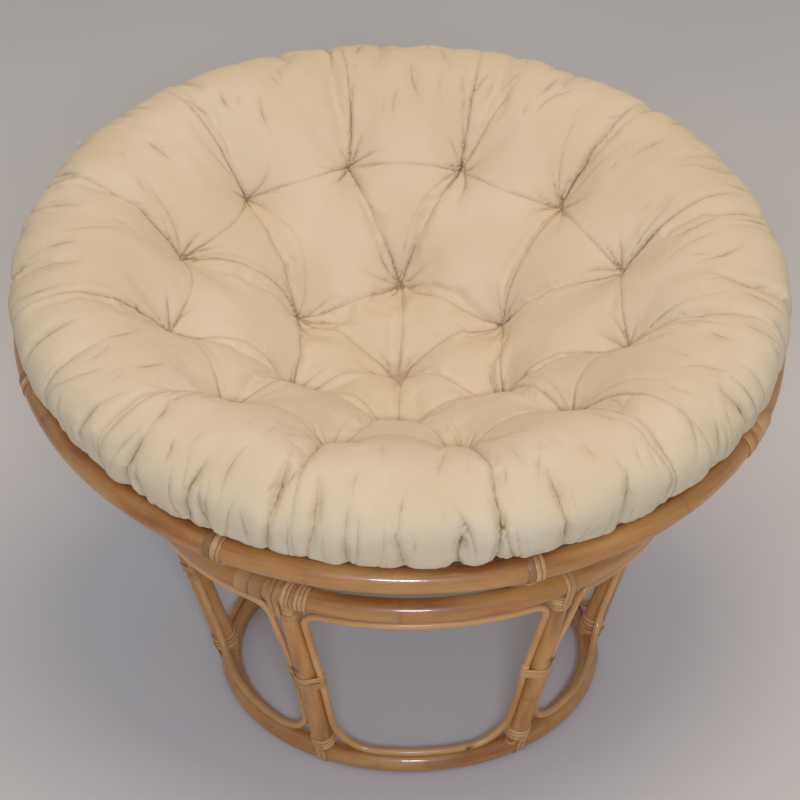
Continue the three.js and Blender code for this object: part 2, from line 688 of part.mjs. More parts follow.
const seat = new THREE.Group();
seat.position.z = -rimDrop;
add(seat, 'cushion', cushion(), cottonCover);
const tag = add(seat, 'cushion_tag', new THREE.BoxGeometry(TAG_WIDTH, TAG_THICK, TAG_HEIGHT), tagTape);
const tagAzimuth = CUSHION_AZIMUTH + TAG_COLUMN * TURN / CUSHION_COLUMNS;
const widest = roll.reduce((most, at) => (at.x > most.x ? at : most));
tag.position.copy(spot(tagAzimuth, widest.x + GAP + TAG_WIDTH / 2, widest.y));
tag.rotation.z = tagAzimuth - TURN / 4;
bowl.add(seat);

// The origin is under the middle of the whole chair
const box = new THREE.Box3().setFromObject(chair, true);
const centre = box.getCenter(new THREE.Vector3());
chair.position.set(-centre.x, -centre.y, 0);
console.log('least gap of each winding to itself, mm:', leastGaps);
console.log('base centre:', chair.position.toArray(), 'ball height:', ballHeight, 'rim drop:', rimDrop);

export default chair;
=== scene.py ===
"""Papasan chair: a tufted cushion in a cane bowl, which rests tilted in the top ring of a rattan base."""
import json
import math
import random

import bmesh
import bpy
import numpy as np
from mathutils import Matrix, Vector


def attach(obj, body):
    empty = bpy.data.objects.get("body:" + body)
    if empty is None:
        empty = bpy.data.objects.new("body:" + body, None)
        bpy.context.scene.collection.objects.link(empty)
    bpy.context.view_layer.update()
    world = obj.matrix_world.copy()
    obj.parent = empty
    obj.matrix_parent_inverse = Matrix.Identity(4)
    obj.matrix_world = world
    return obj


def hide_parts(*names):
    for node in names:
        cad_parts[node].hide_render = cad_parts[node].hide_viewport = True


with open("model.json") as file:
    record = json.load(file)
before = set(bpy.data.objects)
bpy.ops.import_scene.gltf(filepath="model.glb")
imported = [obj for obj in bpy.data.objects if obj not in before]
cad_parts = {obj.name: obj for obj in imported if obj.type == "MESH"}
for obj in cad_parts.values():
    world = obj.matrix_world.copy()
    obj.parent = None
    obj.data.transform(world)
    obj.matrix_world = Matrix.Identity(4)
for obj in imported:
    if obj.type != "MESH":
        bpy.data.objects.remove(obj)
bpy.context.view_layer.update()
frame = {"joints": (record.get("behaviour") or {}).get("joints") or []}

MM = 0.001
TURN = 2 * math.pi

# Places of the base and the bowl, from the frame's two joints
joints = {joint["name"]: joint for joint in frame["joints"]}
ball_centre = Vector(joints["bowl_tilt"]["pos_m"])
base_centre = Vector((ball_centre.x, ball_centre.y, 0))
bowl_axis = Vector(joints["cushion_lift"]["axis"])
bowl_lean = math.atan2(bowl_axis.x, bowl_axis.z)
bowl_tilt = -math.asin(bowl_axis.y)
bowl_turn = Matrix.Rotation(bowl_lean, 4, "Y") @ Matrix.Rotation(bowl_tilt, 4, "X")
bowl_frame = Matrix.Translation(ball_centre) @ bowl_turn

# Base
TOP_RING_RADIUS = 373 * MM
TOP_RING_HEIGHT = 360 * MM
TOP_RING_POLE = 34 * MM
BOTTOM_RING_RADIUS = 270 * MM
BOTTOM_RING_POLE = 32 * MM
BOTTOM_RING_HEIGHT = 16 * MM
LEGS = 6
LEG_POLE = 32 * MM
BASE_AZIMUTH = math.radians(3.5)
LOOP_CANE = 10.6 * MM
LOOP_SPREAD = 3.5 * MM
LOOP_TOP_PROUD = 10 * MM
LOOP_TOP_CORNER = 26 * MM
LOOP_BOTTOM_CORNER = 55 * MM
FRONT_LEFT_LEG = 6
FRONT_RIGHT_LEG = 1
NEAR = 0.3 * MM

# Bowl: every pole's outer side lies on one ball
BALL_RADIUS = 679 * MM
RIM_RADIUS = 530 * MM
RIM_POLE = 36 * MM
RIBS = 8
RIB_POLE = 22 * MM
RIB_AZIMUTH = math.radians(18.7)
SPLICED_RIB = 2
FLOOR_HOOP_RADIUS = 112 * MM
INNER_HOOP_POLE = 16 * MM
INNER_HOOP_ANGLES = {"bowl_lower_hoop": math.radians(20), "bowl_upper_hoop": math.radians(38)}

# Peel, the flat strips of rattan skin that bind the joints
PEEL_THICK = 1.3 * MM
PEEL_GAP = 0.9 * MM
PEEL_CLEAR = 0.15 * MM
STRAP_REACH = 15 * MM
SPLICE_STRAP_SHIFT = -12 * MM
MIDDLE_RISE = 12 * MM
FOOT_STRAP_LOW = math.radians(-50)
FOOT_STRAP_HIGH = math.radians(22)
CURL_RADIUS = 6.5 * MM

# How the meshes are made
GROWTH_SPACING = 240 * MM
POLE_STEP = 9 * MM
WOUND_STEP = 2.6 * MM
STRAP_STEP = 2.2 * MM
SHARP_ANGLE = math.radians(50)

rim_drop = math.sqrt((BALL_RADIUS - RIM_POLE / 2) ** 2 - RIM_RADIUS ** 2)
rib_line = BALL_RADIUS - RIB_POLE / 2
rim_angle = math.asin(RIM_RADIUS / (BALL_RADIUS - RIM_POLE / 2))
floor_angle = math.asin(FLOOR_HOOP_RADIUS / rib_line)


# Shader helpers

def paint(code):
    """An sRGB hex colour as the linear values that a socket takes."""
    parts = [int(code[i:i + 2], 16) / 255 for i in (0, 2, 4)]
    return [p / 12.92 if p <= 0.04045 else ((p + 0.055) / 1.055) ** 2.4 for p in parts] + [1]


def add_node(tree, kind, inputs=(), **settings):
    """Adds one shader node with its settings. Each input is a number, a hex colour or another node's output."""
    node = tree.nodes.new(kind)
    for key, value in settings.items():
        setattr(node, key, value)
    for socket, value in dict(inputs).items():
        if isinstance(value, bpy.types.NodeSocket):
            tree.links.new(value, node.inputs[socket])
        else:
            node.inputs[socket].default_value = paint(value) if isinstance(value, str) else value
    return node


def add_ramp(tree, source, stops):
    """A colour ramp over (place, hex colour) stops."""
    ramp = add_node(tree, "ShaderNodeValToRGB", {"Fac": source})
    while len(ramp.color_ramp.elements) < len(stops):
        ramp.color_ramp.elements.new(0.5)
    for element, (place, code) in zip(ramp.color_ramp.elements, stops):
        element.position = place
        element.color = paint(code)
    return ramp.outputs["Color"]


def add_mix(tree, share, first, second, blend="MIX"):
    inputs = {0: share, 6: first, 7: second}
    return add_node(tree, "ShaderNodeMix", inputs, data_type="RGBA", blend_type=blend).outputs[2]


def add_math(tree, operation, *values, **settings):
    return add_node(tree, "ShaderNodeMath", enumerate(values), operation=operation, **settings).outputs[0]


def add_noise(tree, place, size, detail, roughness=0.5):
    inputs = {"Vector": place, "Scale": 1 / size, "Detail": detail, "Roughness": roughness}
    return add_node(tree, "ShaderNodeTexNoise", inputs).outputs[0]


def add_bump(tree, height, strength, distance, under=None, **settings):
    """Normals bent by a height, on top of the normals of the bump under it."""
    inputs = {"Height": height, "Strength": strength, "Distance": distance}
    if under is not None:
        inputs["Normal"] = under
    return add_node(tree, "ShaderNodeBump", inputs, **settings).outputs[0]


def attribute(tree, name, output="Fac"):
    return add_node(tree, "ShaderNodeAttribute", attribute_name=name).outputs[output]


def object_place(tree):
    return add_node(tree, "ShaderNodeTexCoord").outputs["Object"]


def along_grain(tree, across, along):
    """The piece's grain attribute, scaled so that one unit is the given size across and along the pole."""
    inputs = {"Vector": attribute(tree, "grain", "Vector"), "Scale": (1 / across, 1 / across, 1 / along)}
    return add_node(tree, "ShaderNodeMapping", inputs).outputs[0]


def new_material(name, **sockets):
    """A material whose one Principled shader has its sockets set, and its tree."""
    material = bpy.data.materials.new(name)
    material.use_nodes = True
    shader = material.node_tree.nodes["Principled BSDF"]
    for socket, value in sockets.items():
        shader.inputs[socket.replace("_", " ")].default_value = value
    return material, material.node_tree


def surfaced(material, colour, normal=None):
    """The same material, with its shader's colour and normals linked."""
    shader = material.node_tree.nodes["Principled BSDF"]
    material.node_tree.links.new(colour, shader.inputs["Base Color"])
    if normal is not None:
        material.node_tree.links.new(normal, shader.inputs["Normal"])
    return material


# Materials

WEAVE = 2.4 * MM
TAPE_RIB = 0.8 * MM
WAVES_TO_SIZE = TURN / 20


def varnished_rattan(name, light, middle, dark, coat):
    """Peeled rattan pole, sanded and varnished: a smooth honey skin with fine dark pores along it, faint rings at
    the growth joints, and the wet gloss of a clear coat."""
    material, tree = new_material(
        name, Roughness=0.4, IOR=1.5, Coat_Weight=coat, Coat_Roughness=0.09, Coat_IOR=1.5)
    tone = add_noise(tree, along_grain(tree, 26 * MM, 150 * MM), 1, 3, 0.55)
    pores = add_noise(tree, along_grain(tree, 1.6 * MM, 34 * MM), 1, 4, 0.6)
    body = add_ramp(tree, tone, ((0.3, dark), (0.5, middle), (0.7, light)))
    streak = add_ramp(tree, pores, ((0.36, "9a7046"), (0.5, "ffffff"), (1.0, "ffffff")))
    colour = add_mix(tree, 0.12, body, streak, "MULTIPLY")
    colour = add_mix(tree, attribute(tree, "joint"), colour, "6e4220")
    colour = add_mix(tree, attribute(tree, "scar"), colour, "2b160a")
    return surfaced(material, colour, add_bump(tree, pores, 0.25, 0.15 * MM))


def rattan_peel(name, light, middle, dark):
    """Flat-cut rattan skin, wound wet and varnished over: paler than the poles, with fibres along the strip and a
    duller sheen."""
    material, tree = new_material(
        name, Roughness=0.48, IOR=1.5, Coat_Weight=0.3, Coat_Roughness=0.25, Coat_IOR=1.5)
    fibres = add_noise(tree, along_grain(tree, 0.9 * MM, 22 * MM), 1, 4, 0.65)
    tone = add_noise(tree, along_grain(tree, 40 * MM, 70 * MM), 1, 2)
    body = add_ramp(tree, tone, ((0.34, dark), (0.5, middle), (0.66, light)))
    streak = add_ramp(tree, fibres, ((0.34, "9a6f45"), (0.52, "ffffff"), (1.0, "ffffff")))
    colour = add_mix(tree, 0.35, body, streak, "MULTIPLY")
    colour = add_mix(tree, attribute(tree, "tint"), colour, "80521f")
    return surfaced(material, colour, add_bump(tree, fibres, 0.5, 0.2 * MM))


def crease_line(tree, place, width):
    """One on the line of a crease and nothing at this distance beside it. The line wanders, as a fold does."""
    wander = add_math(tree, "MULTIPLY_ADD", add_noise(tree, place, 14 * MM, 2), 4 * MM, -2 * MM)
    gap = add_math(tree, "ABSOLUTE", add_math(tree, "ADD", attribute(tree, "aside"), wander))
    return add_node(tree, "ShaderNodeMapRange", {0: gap, 1: 0, 2: width, 3: 1, 4: 0},
                    interpolation_type="SMOOTHSTEP").outputs[0]


def cotton_cover():
    """Unbleached cotton canvas over fibre filling: matt, with a plain weave and a soft nap, and painted shade that
    makes the folds a little darker and warmer and draws a thin dark line along each crease. The weave is drawn at
    about three real threads, so that it shows."""
    material, tree = new_material("cotton_canvas_natural", Roughness=0.92, IOR=1.45, Sheen_Weight=0.12,
                                  Sheen_Roughness=0.5, Specular_IOR_Level=0.2)
    place = object_place(tree)
    inputs = {"Vector": place, "Scale": WAVES_TO_SIZE / WEAVE, "Distortion": 1.2, "Detail": 1}
    cloth = add_math(tree, "ADD", *(add_node(tree, "ShaderNodeTexWave", inputs, bands_direction=way).outputs[1]
                                    for way in "XY"))
    fuzz = add_noise(tree, place, 3.2 * MM, 4, 0.55)
    body = add_ramp(tree, add_noise(tree, place, 160 * MM, 3, 0.55),
                    ((0.35, "dccba5"), (0.5, "dfceaa"), (0.66, "e2d2b1")))
    nap = add_ramp(tree, fuzz, ((0.3, "e6dccb"), (0.6, "ffffff"), (1.0, "ffffff")))
    # Painted shade masks: folds and crease lines darken the colour; the line mask also drives the groove bump.
    crease_line_shade_and_groove = attribute(tree, "crease_line_shade_and_groove")
    soft = add_math(tree, "MULTIPLY", attribute(tree, "fold"), 0.26)
    drawn = add_math(tree, "MULTIPLY", crease_line(tree, place, 1.8 * MM), crease_line_shade_and_groove)
    dark = add_math(tree, "MULTIPLY_ADD", drawn, 0.8, soft, use_clamp=True)
    # Painted shade: darkens the canvas towards 80633a in the folds and along the crease lines.
    colour = add_mix(tree, dark, add_mix(tree, 0.14, body, nap, "MULTIPLY"), "80633a")
    groove = add_math(tree, "MULTIPLY", crease_line(tree, place, 5 * MM), crease_line_shade_and_groove)
    crease = add_bump(tree, groove, 0.8, 2.4 * MM, invert=True)
    rough = add_bump(tree, fuzz, 0.12, 0.4 * MM, crease)
    return surfaced(material, colour, add_bump(tree, cloth, 0.12, 0.3 * MM, rough))


def woven_tape():
    """White polyester label tape: a tight flat weave with a faint ribbing across it."""
    material, tree = new_material("label_tape_white", Roughness=0.7, IOR=1.5)
    inputs = {"Vector": object_place(tree), "Scale": WAVES_TO_SIZE / TAPE_RIB}
    ribs = add_node(tree, "ShaderNodeTexWave", inputs, bands_direction="Z").outputs[1]
    colour = add_ramp(tree, ribs, ((0.0, "d8d5ce"), (1.0, "efece6")))
    return surfaced(material, colour, add_bump(tree, ribs, 0.2, 0.1 * MM))


ring_rattan = varnished_rattan("rattan_pole_varnished", "cd9650", "bc803c", "9c5c24", 0.7)
leg_rattan = varnished_rattan("rattan_leg_varnished", "d9a05a", "c98c47", "a4672c", 0.45)
thin_cane = varnished_rattan("rattan_cane_varnished", "e2b072", "d59e5c", "bc8647", 0.45)
bound_peel = rattan_peel("rattan_peel_wound", "eabd80", "d9a566", "b97f45")
canvas = cotton_cover()
tape = woven_tape()


# Mesh helpers

def smooth(share):
    """Eases from 0 to 1 while the share does, and stays there on either side."""
    share = np.clip(share, 0, 1)
    return share * share * (3 - 2 * share)


def seeded(name):
    return random.Random(name)


def path_frames(points, outs, closed=False):
    """A frame at each point of a path: X keeps to the outward direction, Z runs along the path."""
    frames = []
    count = len(points)
    for i, point in enumerate(points):
        before = points[i - 1] if i or closed else point
        after = points[(i + 1) % count] if i + 1 < count or closed else point
        along = (after - before).normalized()
        across = along.cross(outs[i]).normalized()
        out = across.cross(along)
        frames.append(Matrix.Translation(point) @ Matrix((out, across, along)).transposed().to_4x4())
    return frames


def layer(kind, name):
    return kind.get(name) or kind.new(name)


def sweep(bm, outline, frames, sizes=None, closed=False, start=0.0, joints=(), scars=(), tone=0.0):
    """Extrudes a flat outline along the frames. Each vertex keeps its place in the grain: across, and along."""
    grain = layer(bm.verts.layers.float_vector, "grain")
    joint, scar, tint = (layer(bm.verts.layers.float, name) for name in ("joint", "scar", "tint"))
    verts = [bm.verts.new((x, y, 0)) for x, y in outline]
    edges = [bm.edges.new((a, b)) for a, b in zip(verts, verts[1:] + verts[:1])]
    sizes = sizes or [1.0] * len(frames)
    placed = Matrix.Identity(4)
    travelled = 0.0
    first_edges = edges
    for i, (at, size) in enumerate(zip(frames, sizes)):
        if i:
            made = bmesh.ops.extrude_edge_only(bm, edges=edges)["geom"]
            verts = [item for item in made if isinstance(item, bmesh.types.BMVert)]
            edges = [item for item in made if isinstance(item, bmesh.types.BMEdge)]
            travelled += (at.translation - frames[i - 1].translation).length
        target = at @ Matrix.Diagonal((size, size, 1, 1))
        bmesh.ops.transform(bm, matrix=target @ placed.inverted(), verts=verts)
        placed = target
        back = at.inverted()
        ring = max([math.exp(-((travelled - place) / width) ** 2) * depth for place, width, depth in joints] or [0])
        for vert in verts:
            local = back @ vert.co
            vert[grain] = (local.x, local.y, start + travelled)
            vert[joint] = ring
            vert[tint] = tone
            vert[scar] = max([math.exp(-((vert.co - spot).length / width) ** 2) for spot, width in scars] or [0])
    if closed:
        bmesh.ops.bridge_loops(bm, edges=first_edges + edges)
    else:
        for rim in (first_edges, edges):
            bmesh.ops.contextual_create(bm, geom=rim)


def circle(radius, sides):
    return [(radius * math.cos(TURN * k / sides), radius * math.sin(TURN * k / sides)) for k in range(sides)]


def as_mesh(bm, name):
    mesh = bpy.data.meshes.new(name)
    bm.to_mesh(mesh)
    bm.free()
    return mesh


def new_object(name, data):
    thing = bpy.data.objects.new(name, data)
    bpy.context.scene.collection.objects.link(thing)
    return thing


def finish_piece(bm, name, material, body, node):
    """Makes the object, smooth but for its sharp edges, puts it under its body and hides the CAD part it replaces."""
    bmesh.ops.recalc_face_normals(bm, faces=bm.faces)
    mesh = as_mesh(bm, name)
    mesh.shade_smooth()
    mesh.set_sharp_from_angle(angle=SHARP_ANGLE)
    mesh.materials.append(material)
    piece = new_object(name, mesh)
    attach(piece, body)
    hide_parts(node)


def finish_binding(bm, name, body, node):
    finish_piece(bm, name, bound_peel, body, node)


def growth_joints(name, length):
    """Places of the faint growth rings along a pole, as (distance, width, depth)."""
    draw = seeded(name)
    places = []
    at = draw.uniform(0.2, 0.9) * GROWTH_SPACING
    while at < length:
        places.append((at, draw.uniform(2.5, 4.5) * MM, draw.uniform(0.08, 0.32)))
        at += draw.uniform(0.8, 1.25) * GROWTH_SPACING
    return places


def pole_stops(length, joints):
    """Distances along a pole, closer together over its growth rings and bruises."""
    stops = set(np.linspace(0, length, max(2, round(length / POLE_STEP) + 1)))
    for place, width, _ in joints:
        close = [place + width * k for k in (-3, -2, -1.2, -0.6, 0, 0.6, 1.2, 2, 3)]
        stops |= {stop for stop in close if 0 < stop < length}
    kept = []
    for stop in sorted(stops):
        if not kept or stop - kept[-1] > 0.5 * MM:
            kept.append(stop)
    return kept


def pole(name, place, length, size, material, body, node, closed=False, sides=28, scars=()):
    """A round pole along place(distance), which gives a point and its outward direction. It swells a little at its
    growth rings and is never quite even."""
    joints = growth_joints(name, length)
    bruised = [(min(np.linspace(0, length, 800), key=lambda stop: (place(stop)[0] - spot).length), width, 0)
               for spot, width in scars]
    stops = pole_stops(length, joints + bruised)
    if closed:
        stops = stops[:-1]
    draw = seeded(name + " swell")
    phases = [draw.uniform(0, TURN) for _ in range(3)]
    points, outs = zip(*[place(stop) for stop in stops])

    def swell(stop):
        slow = sum(math.sin(TURN * stop / length * k * 2 + phase) for k, phase in zip((1, 2, 3), phases))
        rings = sum(math.exp(-((stop - at) / (5 * MM)) ** 2) * depth for at, _, depth in joints)
        groove = sum(math.exp(-((stop - at) / width) ** 2) * depth for at, width, depth in joints)
        return 0.988 + 0.004 * slow + 0.02 * rings - 0.03 * groove

    bm = bmesh.new()
    sweep(bm, circle(size / 2, sides), path_frames(points, outs, closed), [swell(stop) for stop in stops],
          closed, start=draw.uniform(0, 5), joints=joints, scars=scars)
    finish_piece(bm, name, material, body, node)


def outward(azimuth):
    return Vector((math.sin(azimuth), -math.cos(azimuth), 0))


def at_base(azimuth, radius, height):
    return base_centre + outward(azimuth) * radius + Vector((0, 0, height))


# Base

wall_length = math.hypot(TOP_RING_RADIUS - BOTTOM_RING_RADIUS, TOP_RING_HEIGHT - BOTTOM_RING_HEIGHT)
leg_middle = wall_length / 2


def wall_radius(slant):
    return BOTTOM_RING_RADIUS + (TOP_RING_RADIUS - BOTTOM_RING_RADIUS) * slant / wall_length


def wall_spot(azimuth, slant):
    height = BOTTOM_RING_HEIGHT + (TOP_RING_HEIGHT - BOTTOM_RING_HEIGHT) * slant / wall_length
    return at_base(azimuth, wall_radius(slant), height)


def wall_frame(azimuth, slant):
    """X leads out of the base's wall, Y runs round it, Z runs up its slant."""
    along = (wall_spot(azimuth, wall_length) - wall_spot(azimuth, 0)).normalized()
    side = Vector((math.cos(azimuth), math.sin(azimuth), 0))
    axes = Matrix((side.cross(along), side, along)).transposed().to_4x4()
    return Matrix.Translation(wall_spot(azimuth, slant)) @ axes


def leg_azimuth(leg):
    return BASE_AZIMUTH + (leg - 0.5) * TURN / LEGS


def base_ring(name, radius, height, size, node, seam):
    def place(stop):
        azimuth = seam + stop / radius
        return at_base(azimuth, radius, height), outward(azimuth)
    pole(name, place, TURN * radius, size, ring_rattan, "base", node, closed=True)


def leg_pole(leg, scars):
    azimuth = leg_azimuth(leg)
    start = BOTTOM_RING_POLE / 4
    length = wall_length - start - TOP_RING_POLE / 4
    out = wall_frame(azimuth, 0).col[0].to_3d()

    def place(stop):
        return wall_spot(azimuth, start + stop), out
    pole(f"leg_pole_{leg}", place, length, LEG_POLE, leg_rattan, "base", f"leg_{leg}", scars=scars)


loop_beside = LEG_POLE / 2 + LOOP_CANE / 2 + NEAR
loop_low = BOTTOM_RING_POLE / 2 + LOOP_CANE / 2 + NEAR
loop_high = wall_length - math.sqrt((TOP_RING_POLE / 2 + LOOP_CANE / 2 + NEAR) ** 2 - LOOP_TOP_PROUD ** 2)
loop_bound = leg_middle + 20 * MM


def loop_side(azimuth, way):
    """One side of a window loop, from its bottom run up to its top run, as (azimuth, slant) places."""
    def corner(beside, slant, size, start, steps=9):
        angles = [start - k / steps * TURN / 4 for k in range(steps + 1)]
        return [(beside + size * (1 + math.cos(a)), slant + size * math.sin(a)) for a in angles]

    low = corner(loop_beside, loop_low + LOOP_BOTTOM_CORNER, LOOP_BOTTOM_CORNER, TURN * 3 / 4)
    high = corner(loop_beside + LOOP_SPREAD, loop_high - LOOP_TOP_CORNER, LOOP_TOP_CORNER, TURN / 2)
    bottom, top = low[-1][1], high[0][1]
    run = []
    for slant in (bottom + (top - bottom) * k / 24 for k in range(1, 24)):
        run.append((loop_beside + LOOP_SPREAD * smooth((slant - loop_bound) / (top - loop_bound)), slant))
    return [(azimuth + way * math.asin(beside / wall_radius(slant)), slant) for beside, slant in low + run + high]


def window_loop(leg, scars):
    near = loop_side(leg_azimuth(leg), 1)
    far = loop_side(leg_azimuth(leg + 1), -1)[::-1]

    def run(start, end, steps=70):
        return [(start[0] + (end[0] - start[0]) * k / steps, start[1]) for k in range(1, steps)]
    route = near[12:] + run(near[-1], far[0]) + far + run(far[-1], near[0]) + near[:12]
    frames = [wall_frame(azimuth, slant) for azimuth, slant in route]
    outs = [at.col[0].to_3d() for at in frames]
    points = []
    for at, out, (_, slant) in zip(frames, outs, route):
        share = min(max((slant - loop_bound) / (loop_high - LOOP_TOP_CORNER - loop_bound), 0), 1)
        points.append(at.translation + out * LOOP_TOP_PROUD * share)
    bm = bmesh.new()
    sweep(bm, circle(LOOP_CANE / 2, 16), path_frames(points, outs, True), closed=True, start=leg * 1.7, scars=scars)
    finish_piece(bm, f"window_cane_{leg}", thin_cane, "base", f"window_loop_{leg}")


# Bindings

def peel_outline(width, thick=PEEL_THICK, lift=0.0):
    """Section of a strip: flat below, gently domed above. Lift raises one edge, for turns that overlap."""
    shape = ((0, -0.5), (0.6, -0.5), (0.95, -0.38), (1.05, 0), (0.95, 0.38), (0.6, 0.5), (0, 0.5))
    return [(x * thick + lift * (0.5 + y), y * width) for x, y in shape]


def hull(points):
    """Convex outline of flat points, counter-clockwise."""
    def chain(ordered):
        kept = []
        for p in ordered:
            while len(kept) > 1 and ((kept[-1][0] - kept[-2][0]) * (p[1] - kept[-2][1])
                                     - (kept[-1][1] - kept[-2][1]) * (p[0] - kept[-2][0])) <= 0:
                kept.pop()
            kept.append(p)
        return kept[:-1]
    ordered = sorted({(round(x, 7), round(y, 7)) for x, y in points})
    return chain(ordered) + chain(ordered[::-1])


def drawn_outline(*circles):
    """Outline drawn tight round circles given as (x, y, radius)."""
    return hull([(x + a, y + b) for x, y, radius in circles for a, b in circle(radius + PEEL_CLEAR, 72)])


def evenly(outline, step, closed=True):
    """Resamples an outline at even steps, each as (point, outward normal)."""
    points = np.array(list(outline) + ([outline[0]] if closed else []))
    lengths = np.concatenate([[0], np.cumsum(np.linalg.norm(np.diff(points, axis=0), axis=1))])
    length = lengths[-1]
    count = max(6, round(length / step))
    stops = np.linspace(0, length, count + 1)[:count if closed else count + 1]

    def at(places):
        return [np.interp(places, lengths, points[:, k]) for k in (0, 1)]
    ahead, behind = stops + step / 2, stops - step / 2
    if closed:
        ahead, behind = ahead % length, behind % length
    tx, ty = np.subtract(at(np.minimum(ahead, length)), at(np.maximum(behind, 0)))
    size = np.hypot(tx, ty)
    return list(zip(zip(*at(stops)), zip(ty / size, -tx / size)))


def wound(bm, outline, start, width, turns, position, pitch=None, thick=PEEL_THICK, lift=0.0, seed=0, tone=None):
    """One strip wound round an outline, from a height up the pole. Its two ends tuck in under the turns. A single
    turn is a band laid straight, with its ends on the pole's inner side."""
    spots = evenly(outline, WOUND_STEP)
    draw = random.Random(seed)
    phase = draw.randrange(len(spots))
    pitch = pitch or width + PEEL_GAP
    if turns == 1:
        pitch = 0
        phase = min(range(len(spots)), key=lambda k: spots[k][0][0])
    steps = round(turns * len(spots))
    wave = [draw.uniform(0, TURN) for _ in range(2)]
    points, outs = [], []
    for i in range(steps + 1):
        (x, y), (nx, ny) = spots[(i + phase) % len(spots)]
        turn = i / len(spots)
        uneven = PEEL_GAP * (0.12 * math.sin(turn * 2.3 + wave[0]) + 0.1 * math.sin(turn * 5.1 + wave[1]))
        tuck = -0.55 * thick * max(0, 1 - min(i, steps - i) / 6)
        height = start + width / 2 + pitch * turn + uneven
        points.append(position(x + nx * tuck, y + ny * tuck, height))
        outs.append(position(x + nx, y + ny, height) - position(x, y, height))
    tone = draw.uniform(0, 0.3) if tone is None else tone
    sweep(bm, peel_outline(width, thick, lift), path_frames(points, outs), start=seed * 0.37, tone=tone)


def strapped(bm, outline, widths, position, seed, shift=0.0, tones=None):
    """Strips of the given widths in mm laid side by side over an open outline, with their middle shifted."""
    spots = evenly(outline, STRAP_STEP, closed=False)
    draw = random.Random(seed)
    edge = shift - (sum(widths) * MM + PEEL_GAP * (len(widths) - 1)) / 2
    for k, width in enumerate(width * MM for width in widths):
        middle = edge + width / 2
        edge += width + PEEL_GAP
        points = [position(x, middle, y) for (x, y), _ in spots]
        outs = [position(x + nx, middle, y + ny) - position(x, middle, y) for (x, y), (nx, ny) in spots]
        tone = tones[k] if tones else draw.uniform(0, 0.35)
        sweep(bm, peel_outline(width), path_frames(points, outs), start=seed * 0.37 + k, tone=tone)


def over_pole(radius, neck, drop):
    """Open outline from one side of a neck, over a pole's section, to the other side. Plan is (out, along)."""
    beside = neck + PEEL_CLEAR + PEEL_THICK
    ring = hull(circle(radius + PEEL_CLEAR, 72) + [(beside, -drop), (-beside, -drop)])
    low = min(range(len(ring)), key=lambda k: (round(ring[k][1], 6), -ring[k][0]))
    turned = ring[low:] + ring[:low]
    return turned if turned[-1][0] < 0 else turned[::-1]


def in_frame(at):
    """Position in a frame by out, side and along."""
    return lambda out, side, along: at @ Vector((out, side, along))


# Each leg's top: its two straps' widths, and its neck's width, turns and start below the top ring, all in mm
TOP_BINDINGS = {
    1: ((6, 7.5), (5, 4.5, 26)),
    2: ((9, 8), (8, 2.6, 26)),
    3: ((8.5, 8), (8, 2.6, 26)),
    4: ((8.5, 8.5), (7.5, 2.8, 26)),
    5: ((8, 9), (8, 2.6, 26)),
    6: ((8, 8), (11.5, 1, 24)),
}


def leg_top_binding(leg):
    azimuth = leg_azimuth(leg)
    straps, (width, turns, drop) = TOP_BINDINGS[leg]
    start = wall_length - TOP_RING_POLE / 2 - drop * MM
    bm = bmesh.new()
    leg_outline = drawn_outline((0, 0, LEG_POLE / 2))
    wound(bm, leg_outline, start, width * MM, turns, in_frame(wall_frame(azimuth, 0)), seed=leg)
    outline = over_pole(TOP_RING_POLE / 2, LEG_POLE / 2, TOP_RING_POLE / 2 + STRAP_REACH)
    shift = SPLICE_STRAP_SHIFT if leg == FRONT_LEFT_LEG else 0
    strapped(bm, outline, straps, in_frame(wall_frame(azimuth, wall_length)), leg, shift)
    finish_binding(bm, f"leg_top_binding_{leg}", "base", f"leg_top_lashing_{leg}")


# The bands round a leg's middle, from the top down, as (width in mm, turns)
MIDDLE_BINDINGS = {6: ((4.4, 2), (12, 1)), 1: ((5, 3.6),)}


def leg_middle_binding(leg):
    azimuth = leg_azimuth(leg)
    turn = math.asin(loop_beside / wall_radius(leg_middle))
    canes = []
    for way in (1, -1):
        local = wall_frame(azimuth, leg_middle).inverted() @ wall_spot(azimuth + way * turn, leg_middle)
        canes.append((local.x, local.y, LOOP_CANE / 2))
    outline = drawn_outline((0, 0, LEG_POLE / 2), *canes)
    height = leg_middle + MIDDLE_RISE
    bm = bmesh.new()
    for k, (width, turns) in enumerate(MIDDLE_BINDINGS.get(leg, ((7, 2.6),))):
        height -= (width * MM + PEEL_GAP) * (1 if turns == 1 else turns + 1)
        wound(bm, outline, height, width * MM, turns, in_frame(wall_frame(azimuth, 0)), seed=leg * 10 + k)
    finish_binding(bm, f"leg_middle_binding_{leg}", "base", f"leg_middle_lashing_{leg}")


def foot_binding(leg):
    place = in_frame(wall_frame(leg_azimuth(leg), 0))
    bm = bmesh.new()
    start = BOTTOM_RING_POLE / 2 + 1 * MM
    wound(bm, drawn_outline((0, 0, LEG_POLE / 2)), start, 5.2 * MM, 3.3, place, pitch=6.9 * MM, thick=1.7 * MM,
          seed=leg + 40, tone=0.05)
    radius = BOTTOM_RING_POLE / 2 + PEEL_CLEAR
    outline = [(radius * math.cos(a), radius * math.sin(a)) for a in np.linspace(FOOT_STRAP_LOW, FOOT_STRAP_HIGH, 12)]
    outline.append((LEG_POLE / 2 + PEEL_CLEAR + PEEL_THICK, start + 14 * MM))
    strapped(bm, outline, (6.5, 7), place, leg + 50)
    if leg == FRONT_RIGHT_LEG:
        loose_end(bm, place, start)
    finish_binding(bm, f"foot_binding_{leg}", "base", f"foot_lashing_{leg}")


